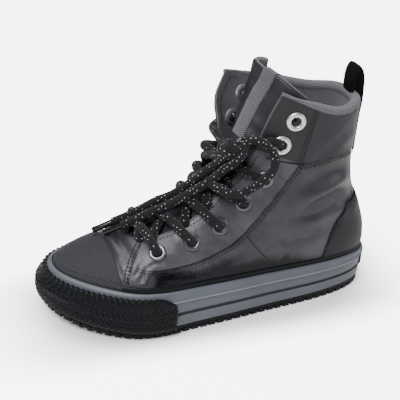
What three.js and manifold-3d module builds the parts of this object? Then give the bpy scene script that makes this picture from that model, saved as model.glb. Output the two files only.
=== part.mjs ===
// Left high-top sneaker boot, standing empty on its sole.
// Millimetres: +X to the toe, +Y to the outer (lateral) side, +Z up.
// The origin is on the floor at the middle of the shoe.
import * as THREE from "three";
import { mergeVertices } from "three/addons/utils/BufferGeometryUtils.js";
import Module from "manifold-3d";

const wasm = await Module();
wasm.setup();

// Main sizes of the shoe
const soleLength = 265;
const ballWidth = 98;
const shaftHeight = 179;
const collarDip = 12.6;
const dipStart = 12.5;
const dipPower = 4;
const facingFlare = 23;
const facingSpread = 5;
const flareSections = [9.5, 15];
const flareAngles = [-1.9, -0.7];

// Walls and clearances
const seatGap = 0.35;
const curveGap = 0.85;
const upperWall = 2.2;
const collarWall = 6.5;
const paddedSections = [13.4, 15.2];
const paddedInsets = [0.15, 0.75];
const overlayWall = 1.1;
const foxingWall = 2.6;
const bumperWall = 2.4;
const bumperRib = 0.9;
const bumperReach = 100;
const bumperCorner = 2;
const ribPitch = 9;
const foxingStep = 0.8;
const overlayGap = 0.65;
const overlayClear = 1.1;
const counterLift = 0.3;
const labelWidth = 26;
const labelWall = 1.5;
const labelEdge = 0.1;
const labelRim = 0.5;
const labelShares = [0.3, 0.36, 0.86, 0.92];
const labelSteps = 8;
const overlayTop = overlayGap + overlayWall + seatGap;

// Sole unit
const lugDepth = 3;
const outsoleWall = 3.2;
const outsoleInset = 0.8;
const lugPitch = 18;
const lugWidth = 12;
const lugLength = 13;
const lugProud = 0.5;
const lugSink = 0.6;
const chevronStart = 18;
const chevronEnd = 38;
const chevronPitch = 20;
const chevronWidth = 10;
const chevronRise = 9;
const chevronGap = 3;
const chevronSight = 4;
const midsoleFloor = 7;
const heelRim = 31.5;
const toeRim = 39.5;
const toeSpring = 10;
const springStart = 0.69;
const toeLean = 6.5;
const leanStart = 0.62;
const leanRise = 0.62;
const insoleThick = 4;
const insoleGap = 0.7;
const floorSink = 0.75;
const randHeight = 3.2;
const randWall = 1.3;
const randClear = 0.12;
const randSteps = 20;
const toeCapEnd = 4.4;
const toeCapSteps = 7;

// Eyelets, pull loop, tongue and ribbon
const eyeletHole = 6.4;
const eyeletOuter = 12.4;
const topEyeletOuter = 14;
const eyeletFlange = 1.2;
const eyeletBarrel = 0.8;
const eyeletSides = 8;
const drillLength = 14;
const tongueWall = 5;
const tongueClear = 1.4;
const tongueStart = 5.75;
const tongueLow = 0.62;
const tongueMedial = 1.05;
const tongueLateral = 1.38;
const tongueTurn = 0.45;
const tongueRise = 6;
const tongueLean = -1.5;
const tongueSag = 13;
const tongueCrest = 3;
const tongueSlope = 4;
const tongueSagStart = 10.5;
const tongueWideAt = 14;
const tongueRows = 11;
const tongueSteps = 9;
const ribbonWidth = 12;
const ribbonWall = 1.4;
const ribbonStart = 12.6;
const ribbonShift = 0.1;
const ribbonRise = 0.95;
const ribbonSteps = 8;
const loopWidth = 15;
const loopWall = 1.7;
const loopFoot = 14.75;
const loopSteps = 14;
const laceWidth = 5.6;
const laceSides = 8;
const laceSteps = 17;
const loopCordSteps = 12;
const endCordSteps = 14;
const laceShares = [0.25, 0.5, 0.75];
const knotWidth = 14;
const agletWidth = 4.6;
const agletLength = 17;
const laceOverEyelet = 7.4;
const laceOverThroat = 5.5;

// Pull loop: its middle line from the seam up and down into the collar, along and up from the collar's back
const loopRows = [
  [0, 0],
  [-2.6, -16],
  [-3.4, -4],
  [-2.7, 8],
  [-0.6, 18],
  [3.0, 23.5],
  [6.6, 21],
  [8.7, 12],
  [9.3, 0],
  [9.6, -9],
];

// Where the overlays lie: sections of the last and angles round it
const edgeInset = 0.04;
const panelStart = 12.3;
const panelBackStart = 13.2;
const panelEnd = 15.9;
const panelBackLow = 1.32;
const panelBackHigh = 1.5;
const panelRows = 5;
const panelSteps = 4;
const eyestaySteps = 3;
const counterSteps = 6;
const counterTurn = [0.1, 0.02];

// Back edge of the eyestay, section by section from the vamp up
const eyestayColumns = ["section", "angle"];
const eyestayRows = [
  [5.75, 0.93],
  [6.7, 1.05],
  [7.8, 1.14],
  [8.6, 1.17],
  [9.5, 1.11],
  [10.1, 1.09],
  [11.0, 1.1],
  [12.0, 1.18],
];

// Front edge of the heel counter, from the rand up to the back seam
const counterColumns = ["section", "angle"];
const counterRows = [
  [10.24, 2.09],
  [10.54, 1.97],
  [11.06, 1.89],
  [11.86, 1.95],
  [12.6, 2.08],
  [13.2, 2.36],
];

// Sections of the last, from the toe tip over the vamp and instep to the collar.
// ridge and base are the front and back ends of a section, x as shares of soleLength and z of shaftHeight.
// half and middle are its half width and side shift as shares of ballWidth.
// crown is the level of its widest place.
// top and floor say how square it is above and below that level.
const sectionColumns = [
  "ridgeX", "ridgeZ", "baseX", "baseZ", "half", "middle", "crown", "top", "floor",
];
const sectionRows = [
  [0.972, 0.156, 0.972, 0.156, 0.0, -0.15, 0.5, 2.0, 2.0],
  [0.964, 0.196, 0.962, 0.118, 0.125, -0.143, 0.42, 2.0, 2.2],
  [0.943, 0.235, 0.936, 0.095, 0.222, -0.127, 0.34, 2.0, 2.6],
  [0.901, 0.275, 0.886, 0.079, 0.318, -0.098, 0.3, 2.0, 3.0],
  [0.843, 0.312, 0.824, 0.073, 0.392, -0.057, 0.29, 2.05, 3.4],
  [0.781, 0.349, 0.751, 0.07, 0.435, -0.016, 0.29, 2.1, 3.6],
  [0.717, 0.388, 0.668, 0.067, 0.438, 0.0, 0.3, 2.15, 3.6],
  [0.649, 0.433, 0.574, 0.065, 0.4, 0.014, 0.32, 2.15, 3.4],
  [0.592, 0.492, 0.457, 0.065, 0.363, 0.026, 0.36, 2.1, 3.0],
  [0.551, 0.564, 0.317, 0.065, 0.344, 0.018, 0.4, 2.1, 2.6],
  [0.519, 0.637, 0.136, 0.067, 0.34, 0.002, 0.44, 2.1, 2.4],
  [0.494, 0.709, 0.025, 0.15, 0.34, 0.0, 0.48, 2.1, 2.3],
  [0.475, 0.777, 0.013, 0.257, 0.332, 0.0, 0.5, 2.1, 2.3],
  [0.458, 0.838, 0.038, 0.38, 0.322, 0.0, 0.5, 2.1, 2.3],
  [0.445, 0.894, 0.078, 0.514, 0.316, 0.0, 0.5, 2.1, 2.3],
  [0.434, 0.95, 0.091, 0.698, 0.32, 0.0, 0.5, 2.1, 2.3],
  [0.423, 1.0, 0.09, 0.894, 0.326, 0.0, 0.5, 2.1, 2.3],
];
const lastSection = sectionRows.length - 1;
const normalStep = 0.02;
const tipClear = 0.12;
const halvings = 40;
const toeSearch = [0, 5];
const heelSearch = [13, 8];

// Half opening of the throat in radians round the section, row by row from the vamp to the collar
const throatColumns = ["section", "opening"];
const throatRows = [
  [5.3, 0.0],
  [5.55, 0.22],
  [6.0, 0.36],
  [7.0, 0.43],
  [8.0, 0.48],
  [10.0, 0.53],
  [11.5, 0.61],
  [13.0, 0.69],
  [14.5, 0.76],
  [16.0, 0.86],
];

// Eyelets of one side, from the vamp up: section, and angle behind the throat edge
const eyeletColumns = ["section", "inset", "isTop"];
const eyeletRows = [
  [6.1, 0.31, 0],
  [7.4, 0.35, 0],
  [8.6, 0.37, 0],
  [9.85, 0.32, 0],
  [11.25, 0.31, 0],
  [13.55, 0.3, 1],
  [15.15, 0.37, 1],
];

// Side profile of the foxing: height share from the outsole to the rim, and how far it stands out
const foxingColumns = ["height", "out"];
const foxingRows = [
  [0.0, -0.8],
  [0.05, 0.0],
  [0.33, 0.0],
  [0.34, -0.7],
  [0.4, -0.7],
  [0.41, 0.0],
  [0.73, 0.0],
  [0.75, foxingStep],
  [0.97, foxingStep],
  [1.0, 0.1],
];

// Finishes
const finishes = {
  leather: { color: 0x3c3a42, roughness: 0.55, metalness: 0 },
  darkLeather: { color: 0x2b2a2f, roughness: 0.7, metalness: 0 },
  blackRubber: { color: 0x1d1e20, roughness: 0.75, metalness: 0 },
  greyRubber: { color: 0x6b7480, roughness: 0.6, metalness: 0 },
  webbing: { color: 0x141416, roughness: 0.9, metalness: 0 },
  greyWebbing: { color: 0x68686e, roughness: 0.9, metalness: 0 },
  insoleCloth: { color: 0x55545a, roughness: 0.95, metalness: 0 },
  gunmetal: { color: 0x5c5c62, roughness: 0.35, metalness: 1 },
  silver: { color: 0xb9b9bc, roughness: 0.3, metalness: 1 },
  lace: { color: 0x111113, roughness: 0.95, metalness: 0 },
};
const materials = {};
for (const name of Object.keys(finishes)) {
  materials[name] = new THREE.MeshStandardMaterial({ name, ...finishes[name] });
}

// Small helpers
const clamp = THREE.MathUtils.clamp;
const lerp = THREE.MathUtils.lerp;
const smooth = (from, to, value) => THREE.MathUtils.smoothstep(value, from, to);
const columnOf = (columns, rows, name) => rows.map((row) => row[columns.indexOf(name)]);
const steps = (count) => Array.from({ length: count + 1 }, (unused, index) => index / count);

// A Catmull-Rom curve through evenly spaced values
function splineValue(values, place) {
  const top = values.length - 1;
  const index = clamp(Math.floor(place), 0, top - 1);
  const share = clamp(place - index, 0, 1);
  const at = (k) => {
    if (k < 0) return 2 * values[0] - values[1];
    if (k > top) return 2 * values[top] - values[top - 1];
    return values[k];
  };
  const [a, b, c, d] = [at(index - 1), at(index), at(index + 1), at(index + 2)];
  const bend = 2 * a - 5 * b + 4 * c - d;
  const twist = 3 * (b - c) + d - a;
  return b + 0.5 * share * (c - a + share * (bend + share * twist));
}

// A straight-line table: y at x, from two columns
function tableValue(xs, ys, x) {
  let k = 0;
  while (k < xs.length - 2 && x > xs[k + 1]) k += 1;
  return lerp(ys[k], ys[k + 1], clamp((x - xs[k]) / (xs[k + 1] - xs[k]), 0, 1));
}

const sectionValues = {};
for (const name of sectionColumns) sectionValues[name] = columnOf(sectionColumns, sectionRows, name);
const sectionValue = (name, s) => splineValue(sectionValues[name], s);
const throatSections = columnOf(throatColumns, throatRows, "section");
const throatOpenings = columnOf(throatColumns, throatRows, "opening");
const throatStart = throatSections[0];
const throatAngle = (s) => (s <= throatStart ? 0 : tableValue(throatSections, throatOpenings, s));

// Heights of the sole under a place x, measured from the heel
const springHeight = (x) => toeSpring * Math.max(0, (x / soleLength - springStart) / (1 - springStart)) ** 2;
const rimHeight = (x) => lerp(heelRim, toeRim, clamp(x / soleLength, 0, 1));
const foxingBase = (x) => lugDepth + outsoleWall + seatGap + springHeight(x);
const floorHeight = (x) => foxingBase(x) + midsoleFloor;
const featherHeight = (x) => floorHeight(x) + seatGap;
const levelBetween = (share, base) => (x) => lerp(base(x), rimHeight(x), share);

// Outer face of the upper: section s of the last, angle a from the ridge (0) round to the base (pi).
// The lateral side has a above zero, the medial side below.
// open is the share of the medial facing's flare, 0 for what lies inside it.
function lastPoint(s, a, open = 1) {
  const widest = sectionValue("crown", s);
  const power = Math.cos(a) > 0 ? sectionValue("top", s) : sectionValue("floor", s);
  const [along, across] = [Math.cos(a), Math.sin(a)];
  const reach = (Math.abs(along) ** power + Math.abs(across) ** power) ** (-1 / power);
  const rise = reach * along;
  const up = widest + rise * (rise > 0 ? 1 - widest : widest);
  const side = reach * across;
  const x = lerp(sectionValue("baseX", s), sectionValue("ridgeX", s), up) * soleLength;
  const y = (sectionValue("middle", s) + Math.max(sectionValue("half", s), 0) * side) * ballWidth;
  const z = lerp(sectionValue("baseZ", s), sectionValue("ridgeZ", s), up) * shaftHeight;
  const dip = collarDip * smooth(dipStart, lastSection, s) * side ** dipPower * (1 - up);
  const opened = a < 0 && open > 0 ? smooth(...flareSections, s) * smooth(...flareAngles, a) : 0;
  return new THREE.Vector3(x + facingFlare * opened, y - facingSpread * opened, z - dip);
}

// Unit normal of the upper's outer face, out of the foot
function lastNormal(s, a, open = 1) {
  const step = normalStep;
  const inside = clamp(s, tipClear, lastSection - step);
  const alongS = lastPoint(inside + step, a, open).sub(lastPoint(inside - step, a, open));
  const alongA = lastPoint(inside, a + step, open).sub(lastPoint(inside, a - step, open));
  return alongA.cross(alongS).normalize();
}

// A point at a distance out from the upper's face
const overLast = (s, a, out, open = 1) => lastPoint(s, a, open).addScaledVector(lastNormal(s, a, open), out);

// Angle at which section s comes down to a level, on the side 1 or -1
function levelAngle(s, height, side) {
  let [low, high] = [0, Math.PI];
  for (let k = 0; k < halvings; k += 1) {
    const middle = (low + high) / 2;
    const point = lastPoint(s, middle * side);
    if (point.z > height(point.x)) low = middle;
    else high = middle;
  }
  return (low + high) / 2;
}

// First and last section that reach a level
function levelEnds(height) {
  const crosses = (s) => {
    const top = lastPoint(s, 0);
    const base = lastPoint(s, Math.PI);
    return top.z > height(top.x) && base.z < height(base.x);
  };
  const search = (outside, inside) => {
    let [out, within] = [outside, inside];
    for (let k = 0; k < halvings; k += 1) {
      const middle = (out + within) / 2;
      if (crosses(middle)) within = middle;
      else out = middle;
    }
    return within;
  };
  return [search(...toeSearch), search(...heelSearch)];
}

// Ring round the upper at a level: heel to toe on the lateral side, then back on the medial side
const ringSteps = 26;
function levelRing(height, out, count = ringSteps) {
  const [front, back] = levelEnds(height);
  const share = (k) => (1 - Math.cos((Math.PI * k) / count)) / 2;
  const ring = [];
  for (let k = 0; k < 2 * count; k += 1) {
    const side = k < count ? 1 : -1;
    const s = lerp(back, front, share(k < count ? k : 2 * count - k));
    ring.push(overLast(s, side * levelAngle(s, height, side), out));
  }
  return ring;
}

// Plan normals of a closed ring, pointing outwards
function planNormals(ring) {
  const count = ring.length;
  return ring.map((point, k) => {
    const before = ring[(k + count - 1) % count];
    const after = ring[(k + 1) % count];
    const normal = new THREE.Vector3(before.y - after.y, after.x - before.x, 0);
    return normal.normalize();
  });
}

// Solids from triangle lists
class Mesher {
  constructor() {
    this.places = [];
    this.faces = [];
  }
  add(point) {
    this.places.push(point.clone());
    return this.places.length - 1;
  }
  quad(a, b, c, d) {
    this.faces.push([a, b, c], [a, c, d]);
  }
  // A band between two rings or rows of the same count
  band(first, second, closed) {
    const count = first.length;
    for (let k = 0; k < (closed ? count : count - 1); k += 1) {
      const next = (k + 1) % count;
      this.quad(first[k], first[next], second[next], second[k]);
    }
  }
  geometry() {
    const flat = this.faces.flat().flatMap((index) => this.places[index].toArray());
    const loose = new THREE.BufferGeometry();
    loose.setAttribute("position", new THREE.Float32BufferAttribute(flat, 3));
    return tidied(loose);
  }
}

// Merged vertices, with the triangles that collapsed taken out
function tidied(geometry) {
  const bare = geometry.index ? geometry.toNonIndexed() : geometry.clone();
  bare.deleteAttribute("normal");
  bare.deleteAttribute("uv");
  const merged = mergeVertices(bare, 2e-3);
  const index = merged.index.array;
  const kept = [];
  for (let k = 0; k < index.length; k += 3) {
    const [a, b, c] = [index[k], index[k + 1], index[k + 2]];
    if (a !== b && b !== c && c !== a) kept.push(a, b, c);
  }
  merged.setIndex(kept);
  return merged;
}

function solidOf(geometry) {
  const bare = tidied(geometry);
  const vertProperties = new Float32Array(bare.attributes.position.array);
  const triVerts = new Uint32Array(bare.index.array);
  return new wasm.Manifold(new wasm.Mesh({ numProp: 3, vertProperties, triVerts }));
}

function geometryOf(solid) {
  const mesh = solid.getMesh();
  const geometry = new THREE.BufferGeometry();
  geometry.setAttribute("position", new THREE.Float32BufferAttribute(mesh.vertProperties, 3));
  geometry.setIndex(new THREE.Uint32BufferAttribute(mesh.triVerts, 1));
  return geometry;
}

// A wall between two faces over the same grids: face(u, v, depth) with depth 0 outside and 1 inside.
// Grids are lists of rows of [u, v]; grids that share an edge are joined along it.
function wallGeometry(grids, face) {
  const skins = [0, 1].map((depth) => {
    const mesher = new Mesher();
    for (const { rows, flip } of grids) {
      const rings = rows.map((row) => row.map(([u, v]) => mesher.add(face(u, v, depth))));
      for (let k = 0; k + 1 < rings.length; k += 1) {
        if (flip) mesher.band(rings[k + 1], rings[k], false);
        else mesher.band(rings[k], rings[k + 1], false);
      }
    }
    return mesher;
  });
  // The two skins number their points alike, so merged outer points give the inner ones too
  const labels = new Map();
  const same = skins[0].places.map((point, k) => {
    const key = point.toArray().map((value) => Math.round(value * 500)).join();
    if (!labels.has(key)) labels.set(key, k);
    return labels.get(key);
  });
  const merged = skins[0].faces.map((corners) => corners.map((index) => same[index]));
  // A face whose three corners all lie on the seam between two grids comes twice, and is left out
  const corners = (face3) => [...face3].sort((one, other) => one - other).join();
  const counts = new Map();
  for (const face3 of merged) counts.set(corners(face3), (counts.get(corners(face3)) ?? 0) + 1);
  const mesher = new Mesher();
  const outer = skins[0].places.map((point) => mesher.add(point));
  const inner = skins[1].places.map((point) => mesher.add(point));
  const edges = new Map();
  for (const face3 of merged) {
    const [a, b, c] = face3;
    if (a === b || b === c || c === a || counts.get(corners(face3)) > 1) continue;
    mesher.faces.push([outer[a], outer[b], outer[c]], [inner[a], inner[c], inner[b]]);
    for (const [from, to] of [[a, b], [b, c], [c, a]]) edges.set(from + "," + to, [from, to]);
  }
  for (const [from, to] of edges.values()) {
    if (edges.has(to + "," + from)) continue;
    mesher.quad(outer[to], outer[from], inner[from], inner[to]);
  }
  return mesher.geometry();
}

// Upper: one hollow shell from the feather line to the collar, open at the throat
const sideColumns = 6;
const columnCrowding = 1.45;
const closeAngle = 0.04;
const underLevels = [0.5, 0.18, 0];
const bareRows = [
  0, 0.3, 0.7, 1.6, 2.3, 3.1, 4.0, 4.7, 5.3, 5.55, 6.0, 6.5, 7.1, 7.8, 8.5, 9.2, 9.7,
  11.4, 12.0, 12.6, 13.2, 13.8, 14.5, 15.2, 16.0,
];
// Further rows where a level turns round the heel or the toe
const turnLevels = [1, ...underLevels].map((share) => levelEnds(levelBetween(share, featherHeight)));
const turnRows = turnLevels.flatMap(([front, back]) => [front, back - 0.03, back]);
const feather = turnLevels[turnLevels.length - 1];
turnRows.push(feather[0] + 0.1, feather[1] - 0.12, feather[1] - 0.28);
const upperRows = [...bareRows, ...turnRows].sort((one, other) => one - other);
function sideRow(s, side) {
  const start = throatAngle(s);
  const rim = levelAngle(s, rimHeight, side);
  const over = steps(sideColumns).map((share) => lerp(start, rim, 1 - (1 - share) ** columnCrowding));
  const under = underLevels.map((share) => levelAngle(s, levelBetween(share, featherHeight), side));
  const closed = (angle) => (angle > Math.PI - closeAngle ? Math.PI : angle);
  return [...over, ...under].map((angle) => [s, side * closed(angle)]);
}

// Wall of the upper: padded round the collar, thinner at the facings
function wallAt(s, a) {
  const [thin, full] = paddedInsets.map((inset) => throatAngle(s) + inset);
  const padded = smooth(...paddedSections, s) * smooth(thin, full, Math.abs(a));
  return lerp(upperWall, collarWall, padded);
}
const upperFace = (s, a, depth) => overLast(s, a, -depth * wallAt(s, a));
function upperShell() {
  return wallGeometry(
    [
      { rows: upperRows.map((s) => sideRow(s, 1)), flip: false },
      { rows: upperRows.map((s) => sideRow(s, -1)), flip: true },
    ],
    upperFace,
  );
}

// Midsole: a cup whose foxing wall follows the upper inside and the sole's outline outside
const rimRing = levelRing(rimHeight, 0);
const rimNormals = planNormals(rimRing);
function sideLean(x, share) {
  const lean = toeLean * smooth(leanStart, 1, x / soleLength);
  return lean * smooth(0, leanRise, 1 - share);
}
function outerRing(share, out) {
  return rimRing.map((point, k) => {
    const reach = seatGap + foxingWall + out + sideLean(point.x, share);
    const place = point.clone().addScaledVector(rimNormals[k], reach);
    place.z = lerp(foxingBase(place.x), rimHeight(place.x), share);
    return place;
  });
}

// A closed solid from stacked rings: from the bottom outside to the top inside, both ends closed across
function cupGeometry(rings) {
  const mesher = new Mesher();
  const indexed = rings.map((ring) => ring.map((point) => mesher.add(point)));
  for (let k = 0; k + 1 < indexed.length; k += 1) mesher.band(indexed[k + 1], indexed[k], true);
  const across = (ring, up) => {
    const count = ring.length;
    for (let k = 0; k < count / 2; k += 1) {
      const near = [ring[k], ring[k + 1]];
      const far = [ring[(count - k - 1) % count], ring[(count - k) % count]];
      const corners = [...near, ...far];
      if (up) mesher.quad(...corners.reverse());
      else mesher.quad(...corners);
    }
  };
  across(indexed[0], false);
  across(indexed[indexed.length - 1], true);
  return mesher.geometry();
}

const cupRings = foxingRows.map(([share, out]) => outerRing(share, out));
for (const share of [1, ...underLevels]) {
  cupRings.push(levelRing(levelBetween(share, floorHeight), curveGap));
}

// Places round the rim by distance from the toe tip, lateral above zero, medial below
const fineSteps = 160;
const fineRing = levelRing(rimHeight, 0, fineSteps);
const fineNormals = planNormals(fineRing);
const rimPath = (() => {
  const count = fineRing.length;
  const tip = count / 2;
  const paths = [1, -1].map((side) => {
    const path = [{ distance: 0, index: tip }];
    for (let k = 1; k <= tip; k += 1) {
      const index = (tip - side * k + count) % count;
      const before = path[path.length - 1];
      const distance = before.distance + fineRing[index].distanceTo(fineRing[before.index]);
      path.push({ distance, index });
    }
    return path;
  });
  return { 1: paths[0], "-1": paths[1] };
})();
function rimPlace(distance) {
  const path = rimPath[distance < 0 ? -1 : 1];
  const length = clamp(Math.abs(distance), 0, path[path.length - 1].distance);
  let k = 0;
  while (k < path.length - 2 && length > path[k + 1].distance) k += 1;
  const share = (length - path[k].distance) / (path[k + 1].distance - path[k].distance);
  const point = fineRing[path[k].index].clone().lerp(fineRing[path[k + 1].index], share);
  const normal = fineNormals[path[k].index].clone().lerp(fineNormals[path[k + 1].index], share);
  return { point, normal: normal.normalize() };
}
const lateralLength = rimPath[1][rimPath[1].length - 1].distance;
const medialLength = rimPath[-1][rimPath[-1].length - 1].distance;
function foxingPlace(distance, share, out) {
  const { point, normal } = rimPlace(distance);
  const reach = seatGap + foxingWall + out + sideLean(point.x, share);
  const place = point.addScaledVector(normal, reach);
  place.z = lerp(foxingBase(place.x), rimHeight(place.x), share);
  return place;
}

// Bumper round the toe: ribbed in a herringbone, with slanted teeth along its upper edge
const bumperShares = [0.02, 0.3, 0.56, 0.62, 0.9, 0.93];
const bumperSlant = [0, 2.2, 0, -1, -3.4, -3.4];
function bumperGeometry() {
  const from = -bumperReach;
  const to = bumperReach;
  const teeth = Math.round((to - from) / ribPitch);
  const distances = steps(teeth * 2).map((share) => lerp(from, to, share));
  const lastColumn = distances.length - 1;
  return wallGeometry(
    [{ rows: bumperShares.map((share, j) => distances.map((d, i) => [i, j])), flip: false }],
    (i, j, depth) => {
      const edge = Math.min(i, lastColumn - i);
      const rounded = j === 0 || j === bumperShares.length - 1 ? Math.max(0, bumperCorner - edge) : 0;
      const along = distances[i] + (edge > 1 ? bumperSlant[j] : 0);
      const inner = clamp(along, from + rounded, to - rounded);
      const raised = i % 2 && j > 0 && j < bumperShares.length - 1 ? bumperRib : 0;
      return foxingPlace(inner, bumperShares[j], foxingStep + curveGap + (depth ? 0 : bumperWall + raised));
    },
  );
}

// Heel label: a bare plate on the foxing at the back
function heelLabelGeometry() {
  const columns = steps(labelSteps).map((share) => lerp(-labelWidth / 2, labelWidth / 2, share));
  const rows = labelShares.map((share) => columns.map((place) => [place, share]));
  const ends = [labelShares[0], labelShares[labelShares.length - 1]];
  return wallGeometry([{ rows, flip: true }], (place, share, depth) => {
    const side = place < 0 ? -1 : 1;
    const length = side > 0 ? lateralLength : medialLength;
    const edge = ends.includes(share) || Math.abs(place) > labelWidth / 2 - labelEdge;
    const raised = edge ? labelWall * labelRim : labelWall;
    const distance = side * (length - Math.abs(place));
    return foxingPlace(distance, share, foxingStep + seatGap + (depth ? 0 : raised));
  });
}

// Outsole: a plate under the foxing, with lugs round its edge and chevrons across
function outsoleGeometry() {
  const plateBottom = (x) => lugDepth + springHeight(x);
  const plateTop = (x) => plateBottom(x) + outsoleWall;
  const ringAt = (height, out) => rimRing.map((point, k) => {
    const reach = seatGap + foxingWall + out + sideLean(point.x, 0);
    const place = point.clone().addScaledVector(rimNormals[k], reach);
    place.z = height(place.x);
    return place;
  });
  const plateRings = [plateBottom, plateTop].map((height) => ringAt(height, -outsoleInset));
  let solid = solidOf(cupGeometry(plateRings));
  // A lug is a prism under the plate, sunk into it by a little so that the two join
  const lug = (outline) => {
    const area = THREE.ShapeUtils.area(outline);
    const corners = area < 0 ? [...outline].reverse() : outline;
    const mesher = new Mesher();
    const low = corners.map(({ x, y }) => mesher.add(new THREE.Vector3(x, y, springHeight(x))));
    const high = corners.map(({ x, y }) => mesher.add(new THREE.Vector3(x, y, plateBottom(x) + lugSink)));
    mesher.band(low, high, true);
    mesher.quad(low[3], low[2], low[1], low[0]);
    mesher.quad(high[0], high[1], high[2], high[3]);
    return solidOf(mesher.geometry());
  };
  const lugs = [];
  for (const side of [1, -1]) {
    const length = side > 0 ? lateralLength : medialLength;
    const count = Math.floor(length / lugPitch);
    for (let k = 0; k < count; k += 1) {
      const middle = ((k + 0.5) * length) / count;
      const corner = (along, inward) => {
        const { point, normal } = rimPlace(side * (middle + along));
        const reach = seatGap + foxingWall + sideLean(point.x, 0) - outsoleInset + lugProud - inward;
        return point.addScaledVector(normal, reach);
      };
      const half = lugWidth / 2;
      lugs.push([corner(half, 0), corner(-half, 0), corner(-half, lugLength), corner(half, lugLength)]);
    }
  }
  // Chevrons: two slanted bars that meet on the middle line of the sole
  const halfAt = (x) => {
    const near = fineRing.filter((point) => Math.abs(point.x - x) < chevronSight);
    const ys = near.map((point) => point.y);
    return [Math.max(...ys), Math.min(...ys)];
  };
  for (let x = chevronStart; x < soleLength - chevronEnd; x += chevronPitch) {
    const [outer, inner] = halfAt(x);
    const middle = (outer + inner) / 2;
    const reach = (outer - inner) / 2 - lugLength + foxingWall - chevronGap;
    const tip = (dx) => ({ x: x + dx + chevronRise, y: middle });
    for (const side of [1, -1]) {
      const end = (dx) => ({ x: x + dx, y: middle + side * reach });
      const half = chevronWidth / 2;
      lugs.push([tip(half), tip(-half), end(-half), end(half)]);
    }
  }
  for (const corners of lugs) solid = solid.add(lug(corners));
  return geometryOf(solid);
}

// Insole on the floor of the cup, set in from the upper's lasted edge
function insoleGeometry() {
  const edge = levelRing(featherHeight, 0);
  const normals = planNormals(edge);
  const bottom = seatGap - floorSink;
  return cupGeometry([bottom, bottom + insoleThick].map((rise) => edge.map((point, k) => {
    const place = point.clone().addScaledVector(normals[k], -(upperWall + insoleGap));
    return place.setZ(floorHeight(place.x) + rise);
  })));
}

// A piece laid on the upper: rows of [section, angle], from out to out + wall
function overlayGeometry(grids, wall = overlayWall, out = overlayGap) {
  return wallGeometry(grids, (s, a, depth) => overLast(s, a, out + (depth ? 0 : wall)));
}
// The upper's own rows between two sections, so that a piece laid on it bends where it does
const rowClear = 0.1;
function sectionsBetween(from, to) {
  const between = upperRows.filter((s) => s > from + rowClear && s < to - rowClear);
  return [from, ...between, to];
}
const gridRow = (s, side, from, to, count) => steps(count).map((share) => [s, side * lerp(from, to, share)]);
const bothSides = (rowOf) => [
  { rows: rowOf(1), flip: false },
  { rows: rowOf(-1), flip: true },
];
const aboveRim = (rise) => (x) => rimHeight(x) + rise;

function toeCapGeometry() {
  const height = aboveRim(overlayClear);
  const front = levelEnds(height)[0];
  const rows = sectionsBetween(front, toeCapEnd);
  const rowOf = (s, side) => gridRow(s, side, 0, levelAngle(s, height, side), toeCapSteps);
  return overlayGeometry(bothSides((side) => rows.map((s) => rowOf(s, side))));
}

// Strip of black rubber along the top of the foxing, from the toe cap round the heel
function randGeometry() {
  const edges = [aboveRim(overlayClear), aboveRim(overlayClear + randHeight)];
  const places = steps(randSteps).map((share) => Math.sin((share * Math.PI) / 2));
  const lateral = places.map((place) => [place, 1]);
  const medial = places.slice(0, -1).reverse().map((place) => [place, -1]);
  const outline = [...lateral, ...medial];
  const rows = edges.map((height, j) => outline.map((unused, i) => [i, j]));
  return wallGeometry([{ rows, flip: false }], (i, j, depth) => {
    const [place, side] = outline[i];
    const section = lerp(toeCapEnd + randClear, levelEnds(edges[j])[1], place);
    const angle = side * levelAngle(section, edges[j], side);
    return overLast(section, angle, overlayGap + (depth ? 0 : randWall));
  });
}

// Places of the eyelets, and the frame that stands on the upper there
function eyeletPlace(row, side) {
  const [section, inset] = row;
  const angle = side * (throatAngle(section) + inset);
  return { section, angle, point: lastPoint(section, angle), normal: lastNormal(section, angle) };
}
function onUpper(geometry, place, out) {
  const turn = new THREE.Quaternion().setFromUnitVectors(new THREE.Vector3(0, 1, 0), place.normal);
  const seat = place.point.clone().addScaledVector(place.normal, out);
  return geometry.clone().applyQuaternion(turn).translate(seat.x, seat.y, seat.z);
}

// Cut the eyelet holes of one side out of a piece
function pierced(geometry, rows, side) {
  let solid = solidOf(geometry);
  const drill = new THREE.CylinderGeometry(eyeletHole / 2, eyeletHole / 2, drillLength, eyeletSides);
  for (const row of rows) solid = solid.subtract(solidOf(onUpper(drill, eyeletPlace(row, side), 0)));
  // Slivers without volume are left out
  const bodies = solid.decompose();
  bodies.sort((one, other) => other.volume() - one.volume());
  return geometryOf(bodies[0]);
}
const isTopColumn = eyeletColumns.indexOf("isTop");
const lowEyelets = eyeletRows.filter((row) => !row[isTopColumn]);
const topEyelets = eyeletRows.filter((row) => row[isTopColumn]);

// Eyelet: a flange on the overlay and a barrel down through the wall
function eyeletGeometry(isTop) {
  const outer = (isTop ? topEyeletOuter : eyeletOuter) / 2;
  const barrel = eyeletHole / 2 - seatGap;
  const bore = barrel - eyeletBarrel;
  const depth = -overlayTop - upperWall;
  const profile = [
    [bore, eyeletFlange],
    [bore, depth],
    [barrel, depth],
    [barrel, 0],
    [outer, 0],
    [bore, eyeletFlange],
  ].map(([radius, height]) => new THREE.Vector2(radius, height));
  return new THREE.LatheGeometry(profile, eyeletSides);
}

// Eyestay: the band beside the throat that holds the five lower eyelets
function eyestayGeometry(side) {
  const sections = columnOf(eyestayColumns, eyestayRows, "section");
  const angles = columnOf(eyestayColumns, eyestayRows, "angle");
  const rows = sectionsBetween(sections[0], sections[sections.length - 1]).map((s) => {
    return gridRow(s, side, throatAngle(s) + edgeInset, tableValue(sections, angles, s), eyestaySteps);
  });
  return pierced(overlayGeometry([{ rows, flip: side < 0 }]), lowEyelets, side);
}

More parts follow.
